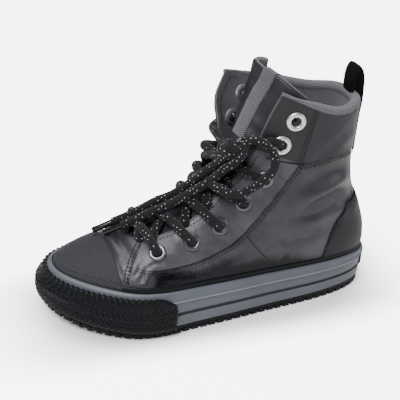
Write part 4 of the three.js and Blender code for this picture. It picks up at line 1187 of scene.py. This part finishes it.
# Tongue, its felt edge, the bare ribbon and the pull loop. The tongue's half widths are angles: low at its
# start, medial and lateral at its top
tongueLook = {
    "start": 5.1, "low": 0.62, "medial": 1.05, "lateral": 1.38, "turn": 0.45, "clear": 1.4,
    "rise": 6, "lean": -1.5, "sag": 13, "crest": 3, "slope": 4,
    "swell": 5.5, "swellAt": -0.62, "swellWide": 0.42,
    "wall": 5, "seam": 0.6, "round": 3.0, "folds": 0.25, "felt": 1.3,
}


def tonguePlace(s, a, out):
    # the last without its flare, sagging behind the laces and swollen on the inner half; over the last's
    # top the tongue rises on and leans back
    t = tongueLook
    within = np.minimum(s, topSection)
    sag = t["sag"] * np.cos(a - t["turn"]) ** 2 * smooth(10.5, topSection, s)
    swell = t["swell"] * smooth(11.8, 13.5, s) * np.exp(-(((a - t["swellAt"]) / t["swellWide"]) ** 2))
    place = overLast(within, a, out - wallAt(within, a) - t["clear"] - sag + swell, 0)
    over = s - within
    top = (t["crest"] * (1 - (a / t["lateral"]) ** 2) - t["slope"] * a) * over
    return place + np.stack([t["lean"] * over, 0 * over, t["rise"] * over + top], -1)


def makeTongue():
    t = tongueLook
    rows = lerp(t["start"], topSection + 1, edgeSpread(110, 0.008))
    share = smooth(t["start"], 14, rows)
    low = -lerp(t["low"], t["medial"], share)
    high = lerp(t["low"], t["lateral"], share)
    a = lerp(low[:, None], high[:, None], edgeSpread(60, 0.014)[None, :])
    s = np.broadcast_to(rows[:, None], a.shape)
    base = tonguePlace(s, a, 0)
    rounded = roundOff(borderDistance(base) / t["round"])
    middle = -t["wall"] / 2
    folds = t["folds"] * np.sin(s * 7.0 + 2.2 * np.sin(a * 3)) * smooth(7, 9, s) * smooth(14.5, 12.5, s)
    outer = tonguePlace(s, a, lerp(middle + t["seam"], 0, rounded) + folds)
    inner = tonguePlace(s, a, lerp(middle - t["seam"], -t["wall"], rounded))
    face = solidFrom([layer(outer, tonguePlace(s, a, middle), uv=loftUv(base))])
    back = solidFrom([layer(inner, tonguePlace(s, a, middle + 0.25), True, loftUv(base))])
    # felt binding: a thin bead that shows as a pale line round the tongue's edge
    seam = tonguePlace(s, a, middle + 0.1)
    edge = np.concatenate([seam[:, 0], seam[-1], seam[::-1, -1]])
    parts = [(*face, 0), (*back, 1), (*tubeSolid(edge[::2], t["felt"], 240, 10), 2)]
    return meshObject("tongue", parts, [tongueLeather, liningCloth, feltCloth], ["tongue"])


def smoothPath(points, count):
    # a smooth curve through the points, resampled to even steps
    points = np.asarray(points, float)
    padded = np.vstack([2 * points[0] - points[1], points, 2 * points[-1] - points[-2]])
    place = np.linspace(0, len(points) - 1, 24 * len(points))
    k = np.clip(place.astype(int), 0, len(points) - 2)
    curve = curveBetween(padded[k], padded[k + 1], padded[k + 2], padded[k + 3], (place - k)[:, None])
    length = walked(curve)
    return resample(curve, length, np.linspace(0, length[-1], count)), length[-1]


def carriedFrames(path):
    # directions across the path, each turned as little as it can be from the one before
    along = unit(np.gradient(path, axis=0))
    frames = [unit(np.cross(along[0], [0.3, 0.2, 1.0]))]
    for k in range(1, len(path)):
        frames.append(unit(frames[-1] - along[k] * (frames[-1] @ along[k])))
    return along, np.array(frames), np.cross(along, np.array(frames))


def tubeSolid(points, width, count, around):
    # a round cord along a smooth path, with domed ends
    path, length = smoothPath(points, count)
    along, across, beside = carriedFrames(path)
    turn = np.linspace(0, 2 * np.pi, around + 1)
    ring = path[:, None] + across[:, None] * (width / 2 * np.cos(turn))[:, None]
    ring = ring + beside[:, None] * (width / 2 * np.sin(turn))[:, None]
    caps = []
    for end, sign in ((0, -1), (-1, 1)):
        cap = []
        for lean in (0.5, 0.85, 1.0):
            middle = path[end] + sign * along[end] * lean * width * 0.3
            cap.append(middle + (ring[end] - path[end]) * math.sqrt(1 - lean**2))
        caps.append(np.stack(cap))
    grid = np.concatenate([caps[0][::-1], ring, caps[1]])
    distance = np.pad(np.linspace(0, length, len(path)), 3, mode="edge")
    uv = np.stack(np.broadcast_arrays(distance[:, None], (turn * width / 2)[None, :]), -1)
    return solidFrom([layer(grid, uv=uv)])


def ribbonPatch(path, across, half, wall, columns):
    # a flat strip of webbing carried along a path; across is its width direction, rounded at the edges
    normal = unit(np.cross(unit(np.gradient(path, axis=0)), across))
    share = np.linspace(-1, 1, columns)
    thick = wall / 2 * np.clip(1 - np.abs(share) ** 6, 0.25, 1)
    middle = path[:, None] + across[:, None] * (half * share)[None, :, None]
    rise = normal[:, None] * thick[None, :, None]
    return layer(middle + rise, middle - rise, True)


ribbonLook = {
    "half": 8.1, "face": 1.4, "back": 0.1, "foldStart": 16.9,
    # middle line on the tongue: section, angle
    "line": [(12.1, 0.12), (13.2, 0.07), (14.2, 0.01), (15.4, 0.01), (16.7, 0.1), (17.2, 0.12)],
    # fold over the tongue's top: section and distance out, of the ribbon's face and of its back
    "foldFace": [
        (16.95, 1.4), (17.13, 1.0), (17.2, -1.0), (17.22, -2.6),
        (17.2, -4.2), (17.1, -6.0), (16.9, -6.5), (16.2, -6.5),
    ],
    "foldBack": [
        (16.95, 0.1), (17.03, 0.0), (17.05, -1.0), (17.06, -2.6),
        (17.05, -4.2), (17.0, -5.1), (16.9, -5.3), (16.2, -5.3),
    ],
}


def makeRibbon():
    # webbing ribbon: up the tongue's face and folded over its top
    look = ribbonLook
    low = np.linspace(look["line"][0][0], look["foldStart"], 60)
    share = np.linspace(-1, 1, 18)[None, :]
    grids = []
    for out, fold in ((look["face"], look["foldFace"]), (look["back"], look["foldBack"])):
        rows = np.concatenate([np.column_stack([low, np.full(60, out)]), fold])
        s = rows[:, :1] + 0 * share
        half = look["half"] / (sectionValue("half", np.minimum(s, topSection)) * shoe["ballWidth"])
        a = tableAt(look["line"], s) + half * share
        grids.append(tonguePlace(s, a, rows[:, 1:] - 0.5 * np.abs(share) ** 8))
    onePiece("tongue_ribbon", [layer(*grids)], ribbonCloth)


# Pull loop at the back: places along and up from the collar, the last one down in its roll
loopLook = {
    "rows": [
        (-2.6, -16), (-3.4, -4), (-3.0, 8), (-1.8, 17.5), (1.6, 23.4),
        (4.8, 20), (6.0, 12), (5.6, 4), (4.6, -2.5),
    ],
    "footSection": 14.75, "footOut": 2.0, "half": 7.5, "wall": 1.8,
}


def makePullLoop():
    look, back = loopLook, np.array(np.pi)
    collar, foot = lastPoint(float(topSection), back), overLast(look["footSection"], back, look["footOut"])
    points = [(foot[0], 0, foot[2])] + [(collar[0] + along, 0, collar[2] + up) for along, up in look["rows"]]
    path, _ = smoothPath(points, 110)
    across = np.broadcast_to([0.0, 1.0, 0.0], path.shape)
    strip = ribbonPatch(path, across, look["half"], look["wall"], 20)
    onePiece("pull_loop", [strip], loopCloth)


makeTongue()
makeRibbon()
makePullLoop()
print("tongue and loop made")

# Eyelets: a rolled flange outside and a flat one inside, on one turned profile
eyeletLook = {
    "dark": (3.1, 6.4, 1.0), "bright": (3.6, 7.2, 1.55),  # hole and outer radius, height over the upper
    "flange": 1.3, "depth": 4.0, "around": 40,
}


def turnedSolid(profile, place, normal, around):
    # a profile of (radius, height) turned round the normal
    first = unit(np.cross(normal, [0.2, 1.0, 0.1]))
    second = np.cross(normal, first)
    turn = np.linspace(0, 2 * np.pi, around + 1)
    radius, height = np.array(profile, float).T[:, :, None, None]
    ring = np.cos(turn)[:, None] * first + np.sin(turn)[:, None] * second
    return solidFrom([layer(place + radius * ring + height * normal, flip=True)])


def makeEyelets():
    look = eyeletLook
    for side, sideName in sides:
        for k, (place, normal, isTop) in enumerate(eyeletPlaces(side), 1):
            hole, outer, lift = look["bright" if isTop else "dark"]
            middle, half, depth = (outer + hole) / 2, (outer - hole) / 2, look["depth"]
            rolled = [
                (middle - half * math.cos(t), lift + look["flange"] * math.sin(t) ** 0.8)
                for t in np.linspace(0, np.pi, 9)[1:-1]
            ]
            profile = [
                (hole, -depth), (hole, lift), *rolled,
                (outer, lift - 0.2), (outer - 0.5, lift - 0.5), (hole + 0.5, lift - 0.5), (hole + 0.5, -3.0),
                (outer - 0.8, -2.5), (outer - 0.4, -2.8), (outer - 1.0, -3.3), (hole + 0.6, -3.9),
                (hole, -depth),
            ]
            name = f"eyelet_{sideName}_{k}"
            body = turnedSolid(profile, place + normal * reliefAt(place[None])[0], normal, look["around"])
            metal, slotName = (silver, "silver") if isTop else (gunmetal, "gunmetal")
            meshObject(name, [(*body, 0)], [metal], [name])


makeEyelets()
print("eyelets made")

# Lace. Cord points are places in mm along, across and up, as in the solids.
cordLook = {
    "width": laceLook["width"], "threaded": 7.0, "around": 20,
    "over": ((4.2, 3.6), (-0.8, 1.2)),  # how high the outer and the inner side's lace lies over the tongue
}
knotLook = {"turns": 1.75, "radius": 5.2, "length": 10}
knotPoints = [(-8.3, 19.4, 138.7), (-4.3, 17.4, 134.2), (-0.3, 15.9, 129.2)]
loopPoints = [
    (-9.3, 20, 140.1), (-16.5, 26, 143), (-22.5, 29, 141), (-27.6, 33, 136),
    (-28.6, 36.7, 130.4), (-24.7, 40, 123.3), (-18.7, 39.5, 116.8), (-11.2, 39, 112.3),
]
endPoints = [
    [
        (5, 16.5, 125), (14.5, 12, 115), (23.5, 7.5, 105), (34, 2, 94.5),
        (46, -1.7, 88.2), (56, -7, 80), (65, -11.5, 73), (74.5, -14, 68.3),
    ],
    [
        (4, 21.5, 120.5), (11, 19, 112), (21, 15.5, 104.2), (32.5, 12, 95.4),
        (44, 8, 88.3), (54, 4, 82), (62, 0.5, 76.5), (70, -3.5, 71),
    ],
]
# From the lower bright eyelets to the knot: (section, angle back from the eyelet, out), then places
toKnot = [
    (
        [(13.55, 0, -3.5), (13.55, -0.02, 1.8), (13.5, -0.13, 4.6)],
        [(-24, 24.5, 139.5), (-14, 19.5, 137), (-6, 17, 133.5)],
    ),
    (
        [(13.55, 0, -3.5), (13.55, -0.02, 1.8), (13.25, -0.08, 3.3), (12.9, -0.155667, 3.2)],
        [(-6, -26, 132), (-5, -14, 130.5), (-4, 0, 130), (-3, 11, 131.5)],
    ),
]
agletProfile = [(0.0, 17.1), (2.0, 17.0), (2.3, 16.2), (2.25, 8.0), (2.35, 1.2), (2.3, 0.35), (0.0, 0.3)]


def lacePart(points, width, count):
    return (*tubeSolid(points, width, count, cordLook["around"]), 0)


def lacePiece(name, parts):
    return meshObject(name, parts, [laceBraid], [name], 60)


def makeLaceCrossings():
    # from each lower eyelet over the eyestay and the throat, then in under the other facing one eyelet down
    parts = []
    lower = [row for row in eyeletRows if not row[2]]
    for (side, _), (over, under) in zip(sides, cordLook["over"]):
        for k, (section, inset, _) in enumerate(lower):
            angle = float(throatAngle(section)) + inset
            following = lower[k - 1][0] + 0.1 if k else 5.7
            far = float(throatAngle(following))
            down = lambda share: lerp(section, following, share)
            table = np.array([
                (section, angle, -4.0), (section, angle, 0.8), (section - 0.03, angle - 0.045, 3.4),
                (down(0.12), angle - 0.16, 5.0), (down(0.3), angle * 0.38, 6.0), (down(0.52), 0.0, over),
                (down(0.76), -far * 0.6, under), (following + 0.03, -far + 0.02, 0.4),
                (following, -far - 0.12, -5.0),
            ])
            points = overLast(table[:, 0], side * table[:, 1], table[:, 2])
            parts.append(lacePart(points, cordLook["threaded"], 90))
    section, inset, _ = eyeletRows[len(lower)]
    angle = float(throatAngle(section)) + inset
    for (side, _), (table, places) in zip(sides, toKnot):
        table = np.array(table)
        points = overLast(table[:, 0], side * (angle + table[:, 1]), table[:, 2])
        parts.append(lacePart(np.concatenate([points, places]), cordLook["width"], 60))
    lacePiece("lace_bars", parts)


def cordObject(name, points, extra):
    path, length = smoothPath(points, 110)
    thing = lacePiece(name, [lacePart(points, cordLook["width"], 110)])


def makeKnot():
    # the lace wound round the knot's middle line, with the stretches that leave it for the loop and the ends
    middle = np.array(knotPoints, float)
    axis = unit(middle[-1] - middle[0])
    first = unit(np.cross(axis, [0, 0, 1]))
    turn = np.linspace(0, 2 * np.pi * knotLook["turns"], 40)[:, None]
    share = np.linspace(-0.5, 0.5, 40)[:, None]
    winding = np.cos(turn) * first + np.sin(turn) * np.cross(axis, first)
    stretches = [
        middle[1] + axis * (share * knotLook["length"]) + knotLook["radius"] * winding,
        [endPoints[0][0], (0.5, 19.0, 129.5), (-5, 22.5, 133.5), (-9.5, 22.5, 137.5), (-12, 17, 138)],
        [endPoints[1][0], (-1.5, 25, 126), (-6.5, 26, 131.5), (-10.5, 24.5, 136.5), loopPoints[0]],
        [loopPoints[-1], (-4, 37.5, 107.8), (3, 32.5, 106.5), (9, 26, 107.5), (12.5, 19, 109.5),
         (12, 12, 111)],
        [middle[0] + axis * 0.5, middle[1], middle[2] - axis * 0.5],
    ]
    return lacePiece("lace_knot", [lacePart(points, cordLook["width"], 120) for points in stretches])


def makeAglet(name, points):
    tip = np.array(points[-1], float)
    body = turnedSolid(agletProfile, tip, unit(tip - points[-2]), 24)
    return meshObject(name, [(*body, 0)], [agletPlastic], [name])


makeLaceCrossings()
cordObject("lace_loop", loopPoints, makeKnot())
for number, points in enumerate(endPoints, 1):
    cordObject(f"lace_end_{number}", points, makeAglet(f"aglet_{number}", points))
print("laces made")

# Stitching: rows of short threads, along lines given as (section, angle)
stitchLook = {"pitch": 2.7, "length": 2.0, "width": 0.75, "edge": 0.75}
flankSeam = [(9.18, 1.2), (9.18, 1.4), (9.22, 1.6), (9.22, 1.9)]  # from the eyestay down to the foxing
vampTacks = [[(5.72, 0.92), (5.75, 1.0), (5.78, 1.08)], [(5.12, 0.82), (5.4, 0.9), (5.68, 0.96)]]


def part(line, low=-np.inf, high=np.inf):
    # the points of a line between two sections
    return [(s, a) for s, a in line if low < s < high]


def throatLine(low, high, count, back):
    return [(s, float(throatAngle(s)) + back) for s in np.linspace(low, high, count)]


def stitchRow(line, side, lift, shift, pitch):
    # places, directions and normals of the threads along one line
    table = np.array(line, float)
    fine = resample(table, np.arange(len(table)), np.linspace(0, len(table) - 1, 400))
    s, angle = fine[:, 0], np.where(fine[:, 1] > np.pi, fine[:, 1], side * fine[:, 1])
    base = onUpper(s, angle, lift)
    normal = lastNormal(s, angle)
    along = unit(np.gradient(base, axis=0))
    base = base + np.cross(normal, along) * shift * side
    length = walked(base)
    at = np.arange(pitch / 2, length[-1], pitch)
    return resample(base, length, at), unit(resample(along, length, at)), unit(resample(normal, length, at))


def stitchSolid(rows):
    # one small ellipsoid for each stitch, all made at once
    place, along, normal = (np.concatenate(column) for column in zip(*rows))
    turn = np.linspace(0, 2 * np.pi, 7)[:-1]
    lean = np.linspace(-np.pi / 2, np.pi / 2, 5)[1:-1]
    ball = [(math.sin(l), math.cos(l) * math.cos(t), math.cos(l) * math.sin(t)) for l in lean for t in turn]
    ball = np.array([(-1, 0, 0)] + ball + [(1, 0, 0)])
    local = ball * np.array([stitchLook["length"], stitchLook["width"], stitchLook["width"]]) / 2
    axes = np.stack([along, np.cross(normal, along), normal], 1)
    points = place[:, None] + local @ axes
    faces = []
    for j in range(6):
        following = (j + 1) % 6
        faces.append((0, 1 + following, 1 + j))
        for ring in (0, 1):
            a, b = 1 + ring * 6 + j, 1 + ring * 6 + following
            faces += [(a, b, b + 6), (a, b + 6, a + 6)]
        faces.append((19, 13 + j, 13 + following))
    all3 = (np.array(faces)[None] + (np.arange(len(place)) * len(ball))[:, None, None]).reshape(-1, 3)
    return points.reshape(-1, 3), all3, np.zeros((len(all3), 3, 2))


def makeStitches():
    rows, pitch, wall = [], stitchLook["pitch"], overlayLook["wall"]
    inside = -shoe["upperWall"] - 0.15
    corner = float(throatAngle(15.75)) + 0.1
    lines = [  # line, height over the upper, shifts to its sides, pitch
        (part(eyestayBack, low=5.6), wall + 0.1, (-1.3, -3.6), pitch),
        (part(eyestayFront, high=5.8), wall + 0.1, (1.4, 3.8), pitch),
        (throatLine(6.2, 12.2, 20, 0.09), wall + 0.1, (0.0,), pitch),
        ([(s, a - 0.06) for s, a in part(panelBack, low=13.1)], 2 * wall - 0.1, (0.0, -2.3), pitch),
        ([(s, a) for a, s in cuffLow if a > cuffFront], wall + 0.1, (-1.4, -3.6), pitch),
        (flankSeam, 0.15, (0.0,), 3.2),
        (part(counterFront, high=13.6), wall + 0.05, (-1.3,), 3.0),
        *((tack, wall + 0.1, (shift,), pitch) for shift in (-0.9, 0.9) for tack in vampTacks),
        (throatLine(12.6, 15.75, 14, 0.1), inside, (0.0,), pitch),
        ([(15.75, corner), (15.75, corner + 0.2), (15.75, corner + 0.4)], inside, (0.0,), pitch),
    ]
    for side, _ in sides:
        for line, lift, shifts, step in lines:
            rows += [stitchRow(line, side, lift, shift, step) for shift in shifts]
    meshObject("stitching", [(*stitchSolid(rows), 0)], [threadAndEdgeShade], (), 80)


def makeEdgeShadeLines():
    # the overlays' edges and the flank seam: a dark line where each one ends, painted shade at the step or
    # groove
    lines = [
        (part(eyestayBack, low=5.2), 0.35), (eyestayFront, 0.35), (panelBack, 0.7),
        ([(s, a) for a, s in cuffLow if 1.1 < a < 3.1], 0.35), (part(counterFront, low=10.3), 0.3),
        ([(9.17, 1.19), (9.18, 1.4), (9.22, 1.6), (9.22, 1.93)], 0.05),
        ([(12.24, 0.84), (12.6, 1.03), (13.26, 1.31)], 0.7),
    ]
    parts = []
    for side, _ in sides:
        for line, lift in lines:
            table, _ = smoothPath([(s, a, 0) for s, a in line], 120)
            points = onUpper(table[:, 0], side * table[:, 1], lift)
            parts.append((*tubeSolid(points, stitchLook["edge"], 150, 6), 0))
    meshObject("edge_shade_lines", parts, [threadAndEdgeShade], (), 80)


makeStitches()
makeEdgeShadeLines()
print("stitches made")

# Stage: a wide pale floor under a white sky, and soft studio lamps
stageLook = {
    # print and fade: half sizes of the footprint and the range over which the floor's glow is cut, a painted
    # shade round the boot
    "floor": (0.9, 0.9, 0.9), "reach": 4.0, "glow": 5.0, "print": (0.134, 0.055), "fade": (0.8, 1.5),
    "worldPower": 0.21, "skySeen": 5.5, "aim": (0, 0, 0.08),
    "lamps": [  # place in metres, size, power
        ("key", (0.95, 0.75, 1.7), 0.8, 58),
        ("side", (-1.6, 0.9, 1.0), 0.9, 12),
        ("top", (0.1, -0.5, 1.8), 1.2, 31),
    ],
}


def areaLight(name, place, size, power):
    data = bpy.data.lights.new(name, "AREA")
    data.shape = "SQUARE"
    data.size = size
    data.energy = power
    thing = addObject(name, data)
    back = unit(np.array(place) - np.array(stageLook["aim"]))
    right = unit(np.cross([0, 0, 1], back))
    turnTo(thing, right, np.cross(back, right), back, place)


def makeStage():
    look = stageLook
    reach = look["reach"]
    mesh = bpy.data.meshes.new("floor")
    corners = [(-reach, -reach, 0), (reach, -reach, 0), (reach, reach, 0), (-reach, reach, 0)]
    mesh.from_pydata(corners, [], [(0, 1, 2, 3)])
    # the paper looks white without lighting the boot; its glow fades close to the sole, a painted shade round
    # the boot's footprint, where the boot's own shadow also shows
    paper, w, surface = startMaterial("floorPaper", look["floor"], 0.9, Emission_Color=(1, 1, 1, 1))
    spread = [
        w.math("POWER", w.math("ABSOLUTE", w.math("DIVIDE", axis, half)), 4)
        for axis, half in zip(w.split(objectPlace(w)), look["print"])
    ]
    # painted shade: the glow is cut in a soft box round the sole's footprint
    clear = w.ramp(w.math("POWER", w.plus(*spread), 0.25), *look["fade"])
    isSeen = w.node("ShaderNodeLightPath").outputs["Is Camera Ray"]
    w.join(w.times(isSeen, w.times(clear, look["glow"])), surface.inputs["Emission Strength"])
    mesh.materials.append(paper)
    addObject("floor", mesh)
    world = bpy.data.worlds.new("studio")
    world.use_nodes = True
    sky = Wiring(world.node_tree)
    background = world.node_tree.nodes["Background"]
    background.inputs[0].default_value = (1, 1, 1, 1)
    isSeen = sky.node("ShaderNodeLightPath").outputs["Is Camera Ray"]
    sky.join(sky.math("MULTIPLY_ADD", isSeen, look["skySeen"], look["worldPower"]), background.inputs[1])
    bpy.context.scene.world = world
    for lamp in look["lamps"]:
        areaLight(*lamp)


makeStage()
print("stage made")
